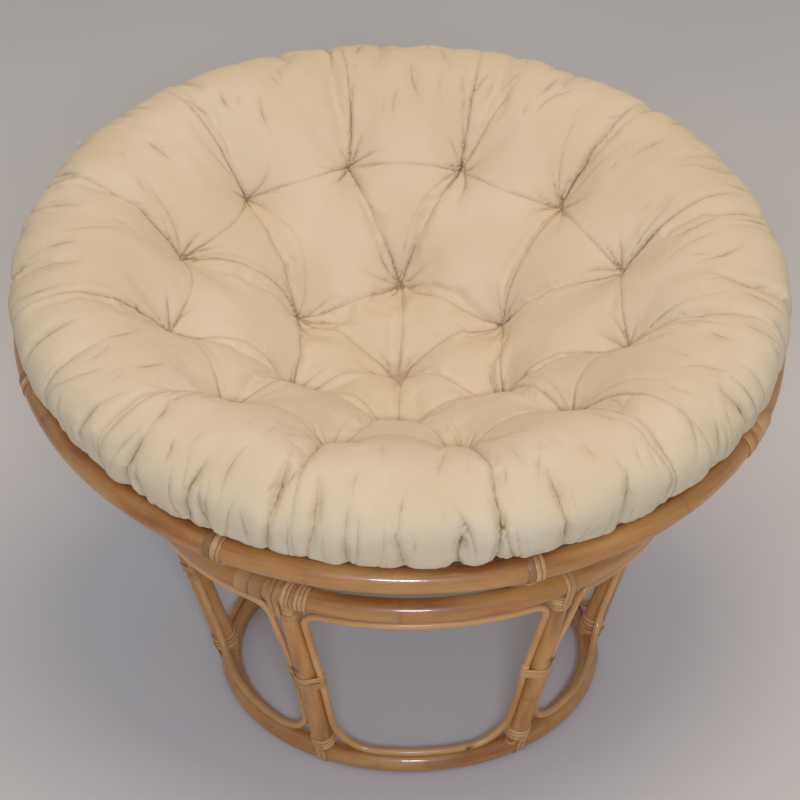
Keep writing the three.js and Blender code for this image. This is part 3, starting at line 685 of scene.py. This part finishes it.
def loose_end(bm, place, start):
    """The end of a foot's strip that has come loose and curls beside the leg."""
    points = []
    for a in np.linspace(-0.4, 3.9, 22):
        side = -LEG_POLE / 2 + 1 * MM - CURL_RADIUS * math.sin(a) * 1.2
        points.append(place(8 * MM + CURL_RADIUS * math.cos(a), side, start + 2 * MM + a * MM))
    middle = place(8 * MM, -LEG_POLE / 2 - 3 * MM, start + 4 * MM)
    outs = [point - middle for point in points]
    sweep(bm, peel_outline(5 * MM, 0.9 * MM), path_frames(points, outs), start=3)


def ring_splice_bindings():
    azimuth = leg_azimuth(FRONT_LEFT_LEG)
    outline = drawn_outline((0, 0, TOP_RING_POLE / 2))

    def position(out, up, along):
        return at_base(azimuth + along / TOP_RING_RADIUS, TOP_RING_RADIUS + out, TOP_RING_HEIGHT + up)
    bm = bmesh.new()
    for start, width, tone in ((-71, 22, 0.3), (-48, 21, 0.5)):
        wound(bm, outline, start * MM, width * MM, 1, position, seed=71, tone=tone)
    finish_binding(bm, "ring_splice_band", "base", "ring_splice_wrap_left")
    bm = bmesh.new()
    wound(bm, outline, -2 * MM, 5.2 * MM, 6.1, position, seed=72, tone=0.05)
    finish_binding(bm, "ring_splice_turns", "base", "ring_splice_wrap_right")


# Bowl, in its own frame with the origin at the ball's centre

def in_bowl(azimuth, radius, height):
    return bowl_frame @ (outward(azimuth) * radius + Vector((0, 0, height)))


def bowl_hoop(name, radius, height, size, node, seam, sides=28, scars=()):
    def place(stop):
        azimuth = seam + stop / radius
        return in_bowl(azimuth, radius, height), (bowl_turn @ outward(azimuth)).normalized()
    pole(name, place, TURN * radius, size, ring_rattan, "bowl", node, True, sides, scars)


def rib_azimuth(rib):
    return RIB_AZIMUTH + (rib - 1) * TURN / RIBS


def rib_frame(azimuth, angle, line=rib_line):
    """X leads out of the ball, Y runs round the bowl, Z runs up the rib."""
    out = outward(azimuth) * math.sin(angle) - Vector((0, 0, math.cos(angle)))
    along = outward(azimuth) * math.cos(angle) + Vector((0, 0, math.sin(angle)))
    side = Vector((math.cos(azimuth), math.sin(azimuth), 0))
    axes = Matrix((out, side, along)).transposed().to_4x4()
    return bowl_frame @ Matrix.Translation(out * line) @ axes


def rib_pole(rib):
    azimuth = rib_azimuth(rib)
    start = floor_angle + RIB_POLE / 4 / rib_line
    end = rim_angle - RIM_POLE / 4 / rib_line

    def place(stop):
        at = rib_frame(azimuth, start + stop / rib_line)
        return at.translation, at.col[0].to_3d()
    length = (end - start) * rib_line
    pole(f"rib_pole_{rib}", place, length, RIB_POLE, leg_rattan, "bowl", f"bowl_rib_{rib}", sides=24)


# Widths in mm of the straps at the ribs that the photograph shows
RIM_STRAPS = {1: (9, 7, 5), 8: (11, 8, 4.5)}


def rim_binding(rib):
    azimuth = rib_azimuth(rib)
    bm = bmesh.new()
    neck = in_frame(rib_frame(azimuth, rim_angle))
    wound(bm, drawn_outline((0, 0, RIB_POLE / 2)), -RIM_POLE / 2 - 18 * MM, 6 * MM, 1.6, neck, seed=rib + 80)
    over = in_frame(rib_frame(azimuth, rim_angle, BALL_RADIUS - RIM_POLE / 2))
    outline = over_pole(RIM_POLE / 2, RIB_POLE / 2, RIM_POLE / 2 + 11 * MM)
    strapped(bm, outline, RIM_STRAPS.get(rib, (10, 8, 5)), over, rib + 90, tones=(0.75, 0.1, 0.2))
    finish_binding(bm, f"rim_binding_{rib}", "bowl", f"rim_lashing_{rib}")


def rim_splice_binding():
    azimuth = rib_azimuth(SPLICED_RIB)

    def position(out, up, along):
        return in_bowl(azimuth + along / RIM_RADIUS, RIM_RADIUS + out, -rim_drop + up)
    bm = bmesh.new()
    wound(bm, drawn_outline((0, 0, RIM_POLE / 2)), -52 * MM, 21 * MM, 4.4, position, pitch=17 * MM, lift=1.2 * MM,
          seed=101)
    finish_binding(bm, "rim_splice_binding", "bowl", "rim_splice_wrap")


# Cushion, worked out in the rim's own frame: heights are counted from the rim's plane

rim_frame = bowl_frame @ Matrix.Translation((0, 0, -rim_drop))

CUSHION_RADIUS = 546 * MM
CUSHION_AZIMUTH = math.radians(-1)
ROLL_WIDTH = 160 * MM
ROLL_TOP = 137 * MM
ROLL_MIDDLE = 60 * MM
ROLL_START = math.radians(115)
ROLL_END = math.radians(-20)
TUCK_REACH = 23 * MM
TUCK_START = math.radians(80)
TUCK_END = math.radians(155)
UNDER_RADIUS = 634 * MM
INNER_TUFT_RADIUS = 154 * MM
OUTER_TUFT_RADIUS = 308 * MM
INNER_TUFTS = 6
OUTER_TUFTS = 12
CROWN_MARKS = ((0, -95 * MM), (INNER_TUFT_RADIUS, -52 * MM), (OUTER_TUFT_RADIUS, 50 * MM))
CROWN_STEPS = 24
TUFT_PULL = 36 * MM
TUFT_SPREAD = 42 * MM
TUFT_HELD = 11 * MM
TUFT_PINCH = 6 * MM
UNDERSIDE_PULL = 18 * MM
SLACK_START = 9 * MM
VOXEL = 7 * MM
SWELL_FRAMES = 20
SWELL_CAP = 24 * MM
CLOTH_SETTINGS = {
    "quality": 5, "vertex_group_mass": "pins", "use_pressure": True, "uniform_pressure_force": 4,
    "shrink_min": -0.035, "tension_stiffness": 15, "compression_stiffness": 15, "shear_stiffness": 5,
    "bending_stiffness": 0.8,
}
# Wrinkles that pass over the roll, as (count, depth, width, length), each from least to most in mm
PASSING_WRINKLES = ((70, (1.4, 3.6), (4, 8), (50, 140)), (90, (0.7, 1.8), (3, 5), (30, 90)))


def crown_line(marks):
    """A smooth curve through the crown's marks."""
    marks = np.array(marks)
    points = []
    for k in range(len(marks) - 1):
        before, here, there, after = (marks[min(max(i, 0), len(marks) - 1)] for i in range(k - 1, k + 3))
        leave, arrive = (there - before) / 2, (after - here) / 2
        for t in np.arange(CROWN_STEPS) / CROWN_STEPS:
            points.append((2 * t ** 3 - 3 * t ** 2 + 1) * here + (t ** 3 - 2 * t ** 2 + t) * leave
                          + (3 * t ** 2 - 2 * t ** 3) * there + (t ** 3 - t ** 2) * arrive)
    return points


def cushion_line():
    """The cushion's outline from the middle of its crown, over the roll and the tuck behind the rim, to the middle
    of its underside, with the place where the tuck begins and the place where the underside begins."""
    core = CUSHION_RADIUS - ROLL_WIDTH / 2

    def on_roll(angle):
        return (core + ROLL_WIDTH / 2 * math.cos(angle), ROLL_MIDDLE + (ROLL_TOP - ROLL_MIDDLE) * math.sin(angle))
    line = crown_line([*CROWN_MARKS, on_roll(ROLL_START)])
    line += [np.array(on_roll(a)) for a in np.linspace(ROLL_START, ROLL_END, 40)]
    tuck = len(line)
    line += [np.array((RIM_RADIUS + TUCK_REACH * math.cos(a), TUCK_REACH * math.sin(a)))
             for a in np.linspace(TUCK_START, TUCK_END, 10)]
    under = len(line)
    widest = math.asin(line[-1][0] / UNDER_RADIUS)
    line += [np.array((UNDER_RADIUS * math.sin(a), rim_drop - UNDER_RADIUS * math.cos(a)))
             for a in np.linspace(widest, 0, 60)[1:]]
    return np.array(line), tuck, under


profile, tuck_begins, under_begins = cushion_line()
run_out = np.concatenate([[0], np.cumsum(np.linalg.norm(np.diff(profile, axis=0), axis=1))])
seam_run = run_out[tuck_begins]
under_run = run_out[under_begins]
crown_end = 3 * CROWN_STEPS + 8
inner_run, outer_run = (float(np.interp(radius, profile[:crown_end, 0], run_out[:crown_end]))
                        for radius in (INNER_TUFT_RADIUS, OUTER_TUFT_RADIUS))


def unrolled(azimuth, run):
    """A place on the cover laid flat, by its azimuth and its distance from the middle along the cover."""
    return np.array((math.sin(azimuth), -math.cos(azimuth))) * run


def laid_flat(points):
    """Flat places of points on the cushion, and how far each lies along the profile."""
    radius = np.hypot(points[:, 0], points[:, 1])
    spots = np.stack([radius, points[:, 2]], 1)
    runs = np.zeros(len(points))
    for first in range(0, len(points), 20000):
        spot = spots[first:first + 20000]
        gap = (spot[:, :1] - profile[None, :, 0]) ** 2 + (spot[:, 1:] - profile[None, :, 1]) ** 2
        near = np.clip(gap.argmin(1), 1, len(profile) - 2)
        a, b = profile[near - 1], profile[near + 1]
        share = np.clip(np.sum((spot - a) * (b - a), 1) / np.sum((b - a) ** 2, 1), 0, 1)
        runs[first:first + 20000] = run_out[near - 1] + share * (run_out[near + 1] - run_out[near - 1])
    return points[:, :2] / np.maximum(radius, 1e-9)[:, None] * runs[:, None], runs


def outer_tuft(k):
    return unrolled(CUSHION_AZIMUTH + (k + 0.5) * TURN / OUTER_TUFTS, outer_run)


def inner_tuft(k):
    return unrolled(CUSHION_AZIMUTH + k * TURN / INNER_TUFTS, inner_run)


tufts = [np.zeros(2)] + [inner_tuft(k) for k in range(INNER_TUFTS)] + [outer_tuft(k) for k in range(OUTER_TUFTS)]


def arc(start, end, bow, steps=14):
    """Points of a shallow arc between two places, bowed sideways by a share of its length."""
    along = end - start
    side = np.array((-along[1], along[0]))
    share = np.linspace(0, 1, steps + 1)[:, None]
    return start + along * share + side * bow * 4 * share * (1 - share)


def between(place):
    """Depth along a crease that two tufts pull: deep at both ends."""
    return 0.32 + 0.68 * np.abs(2 * place - 1) ** 1.6


def outwards(place):
    """Depth along a crease from a tuft over the roll: it flattens as the roll fills out."""
    return 0.3 + 0.7 * (1 - smooth(place / 0.65))


def dying(place):
    return 1 - smooth((place - 0.15) / 0.85)


def gathering(place):
    return smooth(place / 0.45) * (1 - 0.6 * smooth((place - 0.65) / 0.35))


def passing(place):
    return smooth(2 * place) * smooth(2 - 2 * place)


def tuft_creases(deep, width, draw):
    """Creases between neighbouring tufts. Each crease is its points, its depth, its width and the function that
    changes its depth along it."""
    pairs = [(outer_tuft(k), outer_tuft(k + 1), 0.8) for k in range(OUTER_TUFTS)]
    pairs += [(inner_tuft(k), inner_tuft(k + 1), 0.85) for k in range(INNER_TUFTS)]
    pairs += [(tufts[0], inner_tuft(k), 0.9) for k in range(INNER_TUFTS)]
    pairs += [(inner_tuft(k), outer_tuft(2 * k + side), 1.0) for k in range(INNER_TUFTS) for side in (-1, 0)]
    return [(arc(a, b, draw.uniform(-0.07, 0.07)), deep * part, width, between) for a, b, part in pairs]


def edge_creases(deep, width, draw):
    """Creases that run from the outer tufts over the roll to the rim."""
    creases = []
    for k in range(OUTER_TUFTS):
        azimuth = CUSHION_AZIMUTH + (k + 0.5 + draw.uniform(-0.12, 0.12)) * TURN / OUTER_TUFTS
        end = unrolled(azimuth, seam_run + 20 * MM)
        creases.append((arc(outer_tuft(k), end, draw.uniform(-0.06, 0.06), 24), deep, width, outwards))
    return creases


def seam_gathers(count, deep, width, rise, bow, draw):
    """Gathers that rise from the rim, each measure given from least to most in mm. The front bunches most."""
    creases = []
    for k in range(count):
        azimuth = (k + draw.uniform(-0.4, 0.4)) * TURN / count
        top = unrolled(azimuth + draw.uniform(-0.05, 0.05), seam_run - draw.uniform(*rise) * MM)
        points = arc(top, unrolled(azimuth, seam_run + 28 * MM), draw.uniform(-bow, bow))
        front = 0.82 + 0.18 * math.cos(azimuth)
        creases.append((points, draw.uniform(*deep) * MM * front, draw.uniform(*width) * MM, gathering))
    return creases


def main_gathers():
    return seam_gathers(58, (3.5, 9.5), (5.5, 10), (80, 230), 0.11, seeded("gathers"))


def soft_creases():
    """The broad hollows that the stitching pulls into the filling."""
    draw = seeded("hollows")
    return tuft_creases(9 * MM, 15 * MM, draw) + edge_creases(10 * MM, 17 * MM, draw) + main_gathers()


def sharp_creases():
    """The thin folds of the cover."""
    draw = seeded("folds")
    creases = tuft_creases(5.6 * MM, 3 * MM, draw) + edge_creases(5.6 * MM, 3.2 * MM, draw)
    creases += [(points, deep * 0.6, 3.4 * MM, along) for points, deep, _, along in main_gathers()]
    for k in range(INNER_TUFTS):
        for side in (-1, 0):
            if draw.random() < 0.6:
                bow = draw.choice((-1, 1)) * draw.uniform(0.1, 0.17)
                creases.append((arc(inner_tuft(k), outer_tuft(2 * k + side), bow), 2.4 * MM, 2.4 * MM, between))
    for k in range(OUTER_TUFTS):
        for turn in (-1, 1):
            if draw.random() < 0.8:
                azimuth = CUSHION_AZIMUTH + (k + 0.5 + turn * draw.uniform(0.12, 0.3)) * TURN / OUTER_TUFTS
                end = unrolled(azimuth, outer_run + draw.uniform(0.35, 0.85) * (seam_run - outer_run))
                creases.append((arc(outer_tuft(k), end, draw.uniform(-0.1, 0.1)), draw.uniform(1.8, 3.2) * MM,
                                draw.uniform(2.2, 3) * MM, dying))
    for tuft in tufts:
        count = draw.randint(5, 8)
        first = draw.uniform(0, TURN)
        for k in range(count):
            angle = first + (k + draw.uniform(-0.3, 0.3)) * TURN / count
            end = tuft + np.array((math.cos(angle), math.sin(angle))) * draw.uniform(35, 80) * MM
            creases.append((arc(tuft, end, draw.uniform(-0.15, 0.15)), draw.uniform(2, 4.2) * MM,
                            draw.uniform(2.8, 4.4) * MM, dying))
    creases += seam_gathers(90, (0.8, 2.6), (2.2, 3.6), (25, 120), 0.12, draw)
    for count, deep, width, reach in PASSING_WRINKLES:
        for k in range(count):
            azimuth = (k + draw.uniform(-0.5, 0.5)) * TURN / count
            length = draw.uniform(*reach) * MM
            run = draw.uniform(outer_run + 50 * MM, seam_run - 0.8 * length)
            slant = draw.uniform(-0.4, 0.4)
            end = unrolled(azimuth + slant * length / run, run + length * math.cos(slant))
            creases.append((arc(unrolled(azimuth, run), end, draw.uniform(-0.13, 0.13)), draw.uniform(*deep) * MM,
                            draw.uniform(*width) * MM, passing))
    return creases


def pressed(flat, creases, power=1.2):
    """How deep each flat place lies in the deepest crease over it, and how far to one side of that crease's line.
    No crease is even along its length."""
    depth = np.zeros(len(flat))
    aside = np.full(len(flat), 1.0)
    for points, deep, width, along in creases:
        low, high = points.min(0) - 4 * width, points.max(0) + 4 * width
        near = np.nonzero(np.all((flat > low) & (flat < high), axis=1))[0]
        spot = flat[near]
        best = np.full(len(near), np.inf)
        place = np.zeros(len(near))
        for k, (a, b) in enumerate(zip(points[:-1], points[1:])):
            share = np.clip((spot - a) @ (b - a) / ((b - a) @ (b - a)), 0, 1)
            off = spot - a - share[:, None] * (b - a)
            gap = np.copysign(np.linalg.norm(off, axis=1), (b - a)[0] * off[:, 1] - (b - a)[1] * off[:, 0])
            closer = np.abs(gap) < np.abs(best)
            best[closer] = gap[closer]
            place[closer] = (k + share[closer]) / (len(points) - 1)
        uneven = 0.85 + 0.15 * np.sin(17 * place + 90 * (points[0, 0] + points[-1, 1]))
        press = deep * along(place) * uneven * np.exp(-(np.abs(best) / width) ** power)
        deeper = press > depth[near]
        depth[near[deeper]] = press[deeper]
        aside[near[deeper]] = best[deeper]
    return depth, aside


def one_crease(mesh, flat, aside):
    """One where all the neighbours measure from the same crease, nothing where they don't."""
    ends = np.empty(len(mesh.edges) * 2, dtype=np.int32)
    mesh.edges.foreach_get("vertices", ends)
    first, second = ends.reshape(-1, 2).T
    apart = np.linalg.norm(flat[first] - flat[second], axis=1)
    jumps = np.abs(aside[first] - aside[second]) > 1.25 * apart + 0.2 * MM
    agreed = np.ones(len(flat))
    agreed[first[jumps]] = 0
    agreed[second[jumps]] = 0
    return agreed


def bell(gap, spread):
    """One at no distance, falling off smoothly about the spread away."""
    return np.exp(-(gap / spread) ** 2)


def tuft_gap(flat):
    """Distance of each flat place from its nearest tuft."""
    return np.min([np.linalg.norm(flat - tuft, axis=1) for tuft in tufts], axis=0)


def read_points(mesh):
    points = np.empty(len(mesh.vertices) * 3)
    mesh.vertices.foreach_get("co", points)
    return points.reshape(-1, 3)


def read_normals(mesh):
    normals = np.empty(len(mesh.vertices) * 3)
    mesh.vertex_normals.foreach_get("vector", normals)
    return normals.reshape(-1, 3)


def write_points(mesh, points):
    mesh.vertices.foreach_set("co", points.ravel())
    mesh.update()


def evaluated(piece):
    """A copy of the piece's mesh with its modifiers applied."""
    return bpy.data.meshes.new_from_object(piece.evaluated_get(bpy.context.evaluated_depsgraph_get()))


def filling():
    """The cushion before it swells: its profile turned round the middle, drawn in by the stitching and a little
    slimmer than the finished one."""
    bm = bmesh.new()
    verts = [bm.verts.new((0, -reach, height)) for reach, height in profile]
    edges = [bm.edges.new(pair) for pair in zip(verts, verts[1:])]
    bmesh.ops.spin(bm, geom=verts + edges, cent=(0, 0, 0), axis=(0, 0, 1), angle=TURN, steps=300, use_merge=True)
    bmesh.ops.remove_doubles(bm, verts=bm.verts, dist=0.05 * MM)
    bmesh.ops.recalc_face_normals(bm, faces=bm.faces)
    mesh = as_mesh(bm, "filling")
    points, normals = read_points(mesh), read_normals(mesh)
    flat, runs = laid_flat(points)
    above = smooth((under_run - runs) / (30 * MM))
    slack = SLACK_START * smooth((seam_run - runs) / (40 * MM))
    pull = bell(tuft_gap(flat), TUFT_SPREAD) * (1 - 0.6 * bell(runs, 55 * MM))
    hollow, _ = pressed(flat, soft_creases())
    points -= normals * (slack + above * hollow)[:, None]
    points[:, 2] -= above * pull * (TUFT_PULL - SLACK_START)
    points[:, 2] += (1 - above) * bell(tuft_gap(points[:, :2]), TUFT_SPREAD) * UNDERSIDE_PULL
    write_points(mesh, points)
    return mesh


def swollen(piece):
    """Blows the cover up like a filled cushion. The stitches and the underside hold still."""
    mesh = piece.data
    points = read_points(mesh)
    flat, runs = laid_flat(points)
    held = np.maximum(bell(tuft_gap(flat), TUFT_HELD), smooth((runs - seam_run + 14 * MM) / (18 * MM)))
    pins = piece.vertex_groups.new(name="pins")
    for index in np.nonzero(held > 0.02)[0]:
        pins.add([int(index)], float(held[index]), "REPLACE")
    cloth = piece.modifiers.new("cloth", "CLOTH")
    for key, value in CLOTH_SETTINGS.items():
        setattr(cloth.settings, key, value)
    cloth.settings.effector_weights.gravity = 0
    scene = bpy.context.scene
    for step in range(1, SWELL_FRAMES + 1):
        scene.frame_set(step)
    grown = read_points(evaluated(piece))
    scene.frame_set(1)
    piece.modifiers.remove(cloth)
    piece.vertex_groups.clear()
    moved = grown - points
    size = np.linalg.norm(moved, axis=1)
    limit = SWELL_CAP * np.tanh(size / SWELL_CAP) / np.maximum(size, 1e-9)
    write_points(mesh, points + moved * limit[:, None])


def wavy(flat, runs):
    """Slow unevenness of the filling under the cover, strongest on the roll."""
    draw = seeded("waves")
    azimuth = np.arctan2(flat[:, 0], -flat[:, 1])
    waves = sum(draw.uniform(0.4, 1) * np.sin(count * azimuth + draw.uniform(0, TURN) + draw.uniform(-9, 9) * runs)
                for count in (17, 23, 31, 39, 47, 59))
    return waves * smooth((runs - outer_run) / (90 * MM)) * 0.45 * MM


def applied(piece, kind, **settings):
    """Puts one modifier on the piece and applies it."""
    modifier = piece.modifiers.new(kind.lower(), kind)
    for key, value in settings.items():
        setattr(modifier, key, value)
    piece.data = evaluated(piece)
    piece.modifiers.clear()


def cushion_cover():
    piece = new_object("cushion_cover", filling())
    applied(piece, "REMESH", mode="VOXEL", voxel_size=VOXEL)
    swollen(piece)
    applied(piece, "SUBSURF", levels=1, render_levels=1)
    mesh = piece.data
    points, normals = read_points(mesh), read_normals(mesh)
    flat, runs = laid_flat(points)
    above = smooth((under_run - runs) / (20 * MM))
    fold, aside = pressed(flat, sharp_creases())
    dent, _ = pressed(flat, main_gathers(), 1.6)
    pinch = np.exp(-tuft_gap(flat) / TUFT_PINCH)
    push = (wavy(flat, runs) - fold - 0.6 * dent - 6 * MM * pinch) * above
    points += normals * push[:, None]
    write_points(mesh, np.array([rim_frame @ Vector(point) for point in points]))
    # Painted shade masks for the canvas: darker creases, darker tuft pits, and thin crease lines that also bump.
    shade = np.clip((fold / (5 * MM)) ** 0.9, 0, 1) * above
    calm = 1 - 0.6 * bell(runs, 14 * MM)
    looks = {"fold": np.clip(shade + 0.5 * pinch, 0, 1) * calm,
             "crease_line_shade_and_groove": shade ** 1.15 * one_crease(mesh, flat, aside) * calm, "aside": aside}
    for name, values in looks.items():
        mesh.attributes.new(name, "FLOAT", "POINT").data.foreach_set("value", values)
    mesh.shade_smooth()
    mesh.materials.clear()
    mesh.materials.append(canvas)
    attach(piece, "cushion")
    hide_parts("cushion")


# Tag, a folded loop of tape sewn into the cushion's edge

TAG_AZIMUTH = math.radians(239)
TAG_LENGTH = 25 * MM
TAG_WIDTH = 16 * MM
TAPE_THICK = 0.3 * MM


def label_tag():
    start = CUSHION_RADIUS - 9 * MM
    half = 0.55 * MM
    path = [(start + TAG_LENGTH * k / 10, half) for k in range(11)]
    path += [(start + TAG_LENGTH + half * math.sin(a), half * math.cos(a)) for a in np.linspace(0, math.pi, 8)[1:-1]]
    path += [(reach, -half) for reach, _ in path[10::-1]]

    def spot(reach, side):
        droop = 3 * MM * ((reach - start) / TAG_LENGTH) ** 2
        out = outward(TAG_AZIMUTH) * reach + Vector((math.cos(TAG_AZIMUTH), math.sin(TAG_AZIMUTH), 0)) * (side + droop)
        return rim_frame @ (out + Vector((0, 0, ROLL_MIDDLE + 9 * MM)))
    points = [spot(reach, side) for reach, side in path]
    upright = (rim_frame.to_3x3() @ Vector((0, 0, 1))).normalized()
    section = [(x * TAG_WIDTH / 2, y * TAPE_THICK / 2) for x, y in ((-1, -1), (1, -1), (1, 1), (-1, 1))]
    bm = bmesh.new()
    sweep(bm, section, path_frames(points, [upright] * len(points)))
    finish_piece(bm, "label_tag", tape, "cushion", "cushion_tag")


# The studio: a pale floor, soft lights and the camera

CAMERA_PLACE = Vector((-1.26, -3034.2, 2306.3)) * MM
CAMERA_AIM = Vector((-1.26, -64.08, 454.68)) * MM
CAMERA_ROLL = math.radians(-0.25)
SENSOR = 36
LENS = 110.39


def floor():
    bm = bmesh.new()
    bmesh.ops.create_grid(bm, x_segments=2, y_segments=2, size=12)
    mesh = as_mesh(bm, "floor")
    material, tree = new_material("floor_pale", Roughness=0.6)
    tone = add_noise(tree, object_place(tree), 1 / 1.2, 2)
    mesh.materials.append(surfaced(material, add_ramp(tree, tone, ((0.3, "d7d4ce"), (0.7, "dddad4")))))
    new_object("floor", mesh)


def lamp(name, place, aim, size, power, colour):
    light = bpy.data.lights.new(name, "AREA")
    light.shape = "RECTANGLE"
    light.size, light.size_y = size
    light.energy = power
    light.color = paint(colour)[:3]
    holder = new_object(name, light)
    holder.location = place
    holder.rotation_euler = (Vector(aim) - Vector(place)).to_track_quat("-Z", "Y").to_euler()


def studio():
    floor()
    scene = bpy.context.scene
    world = bpy.data.worlds.new("studio")
    world.use_nodes = True
    background = world.node_tree.nodes["Background"]
    background.inputs["Color"].default_value = paint("eef1fb")
    background.inputs["Strength"].default_value = 0.4
    scene.world = world
    lamp("overhead", (0.35, -0.25, 3.7), (0, 0, 0.3), (2.8, 2.4), 49, "ffe2bc")
    lamp("front", (0.1, -3.7, 2.55), (0, -0.1, 0.35), (0.8, 0.3), 66, "d2deff")
    camera = bpy.data.cameras.new("camera")
    camera.sensor_width = SENSOR
    camera.lens = LENS
    camera.clip_end = 50
    turn = (CAMERA_AIM - CAMERA_PLACE).to_track_quat("-Z", "Y").to_matrix().to_4x4()
    scene.camera = new_object("camera", camera)
    scene.camera.matrix_world = Matrix.Translation(CAMERA_PLACE) @ turn @ Matrix.Rotation(CAMERA_ROLL, 4, "Z")
    scene.view_settings.view_transform = "Standard"


def beside_leg(leg, slant, out, side):
    return wall_frame(leg_azimuth(leg), slant) @ Vector((out, side, 0))


# Dark knots and bruises in the poles, as (place, size)
LEG_SCARS = {
    FRONT_LEFT_LEG: [(beside_leg(FRONT_LEFT_LEG, leg_middle + 24 * MM, 14 * MM, -7 * MM), 6.5 * MM)],
    FRONT_RIGHT_LEG: [(beside_leg(FRONT_RIGHT_LEG, leg_middle + 26 * MM, 14 * MM, 7 * MM), 6.5 * MM)],
}
LOOP_SCARS = {6: [(wall_spot(math.radians(17), loop_low) + outward(math.radians(17)) * LOOP_CANE / 2, 4 * MM)]}
RIM_SCARS = [(in_bowl(math.radians(-83), RIM_RADIUS + RIM_POLE / 2, -rim_drop + 4 * MM), 8 * MM)]


def build():
    seam = leg_azimuth(FRONT_LEFT_LEG) + 20 * MM / TOP_RING_RADIUS
    base_ring("top_ring_pole", TOP_RING_RADIUS, TOP_RING_HEIGHT, TOP_RING_POLE, "base_top_ring", seam)
    base_ring("bottom_ring_pole", BOTTOM_RING_RADIUS, BOTTOM_RING_HEIGHT, BOTTOM_RING_POLE, "base_bottom_ring",
              leg_azimuth(3))
    for leg in range(1, LEGS + 1):
        leg_pole(leg, LEG_SCARS.get(leg, ()))
        window_loop(leg, LOOP_SCARS.get(leg, ()))
        leg_top_binding(leg)
        leg_middle_binding(leg)
        foot_binding(leg)
    ring_splice_bindings()
    bowl_hoop("rim_pole", RIM_RADIUS, -rim_drop, RIM_POLE, "rim_hoop", rib_azimuth(SPLICED_RIB), scars=RIM_SCARS)
    bowl_hoop("floor_hoop_pole", FLOOR_HOOP_RADIUS, -math.sqrt(rib_line ** 2 - FLOOR_HOOP_RADIUS ** 2), RIB_POLE,
              "bowl_floor_hoop", rib_azimuth(4), sides=20)
    line = rib_line - RIB_POLE / 2 - INNER_HOOP_POLE / 2 - NEAR
    for node, angle in INNER_HOOP_ANGLES.items():
        bowl_hoop(node.replace("bowl_", "") + "_pole", line * math.sin(angle), -line * math.cos(angle),
                  INNER_HOOP_POLE, node, rib_azimuth(6), sides=16)
    for rib in range(1, RIBS + 1):
        rib_pole(rib)
        if rib != SPLICED_RIB:
            rim_binding(rib)
    rim_splice_binding()
    cushion_cover()
    label_tag()
    studio()


build()
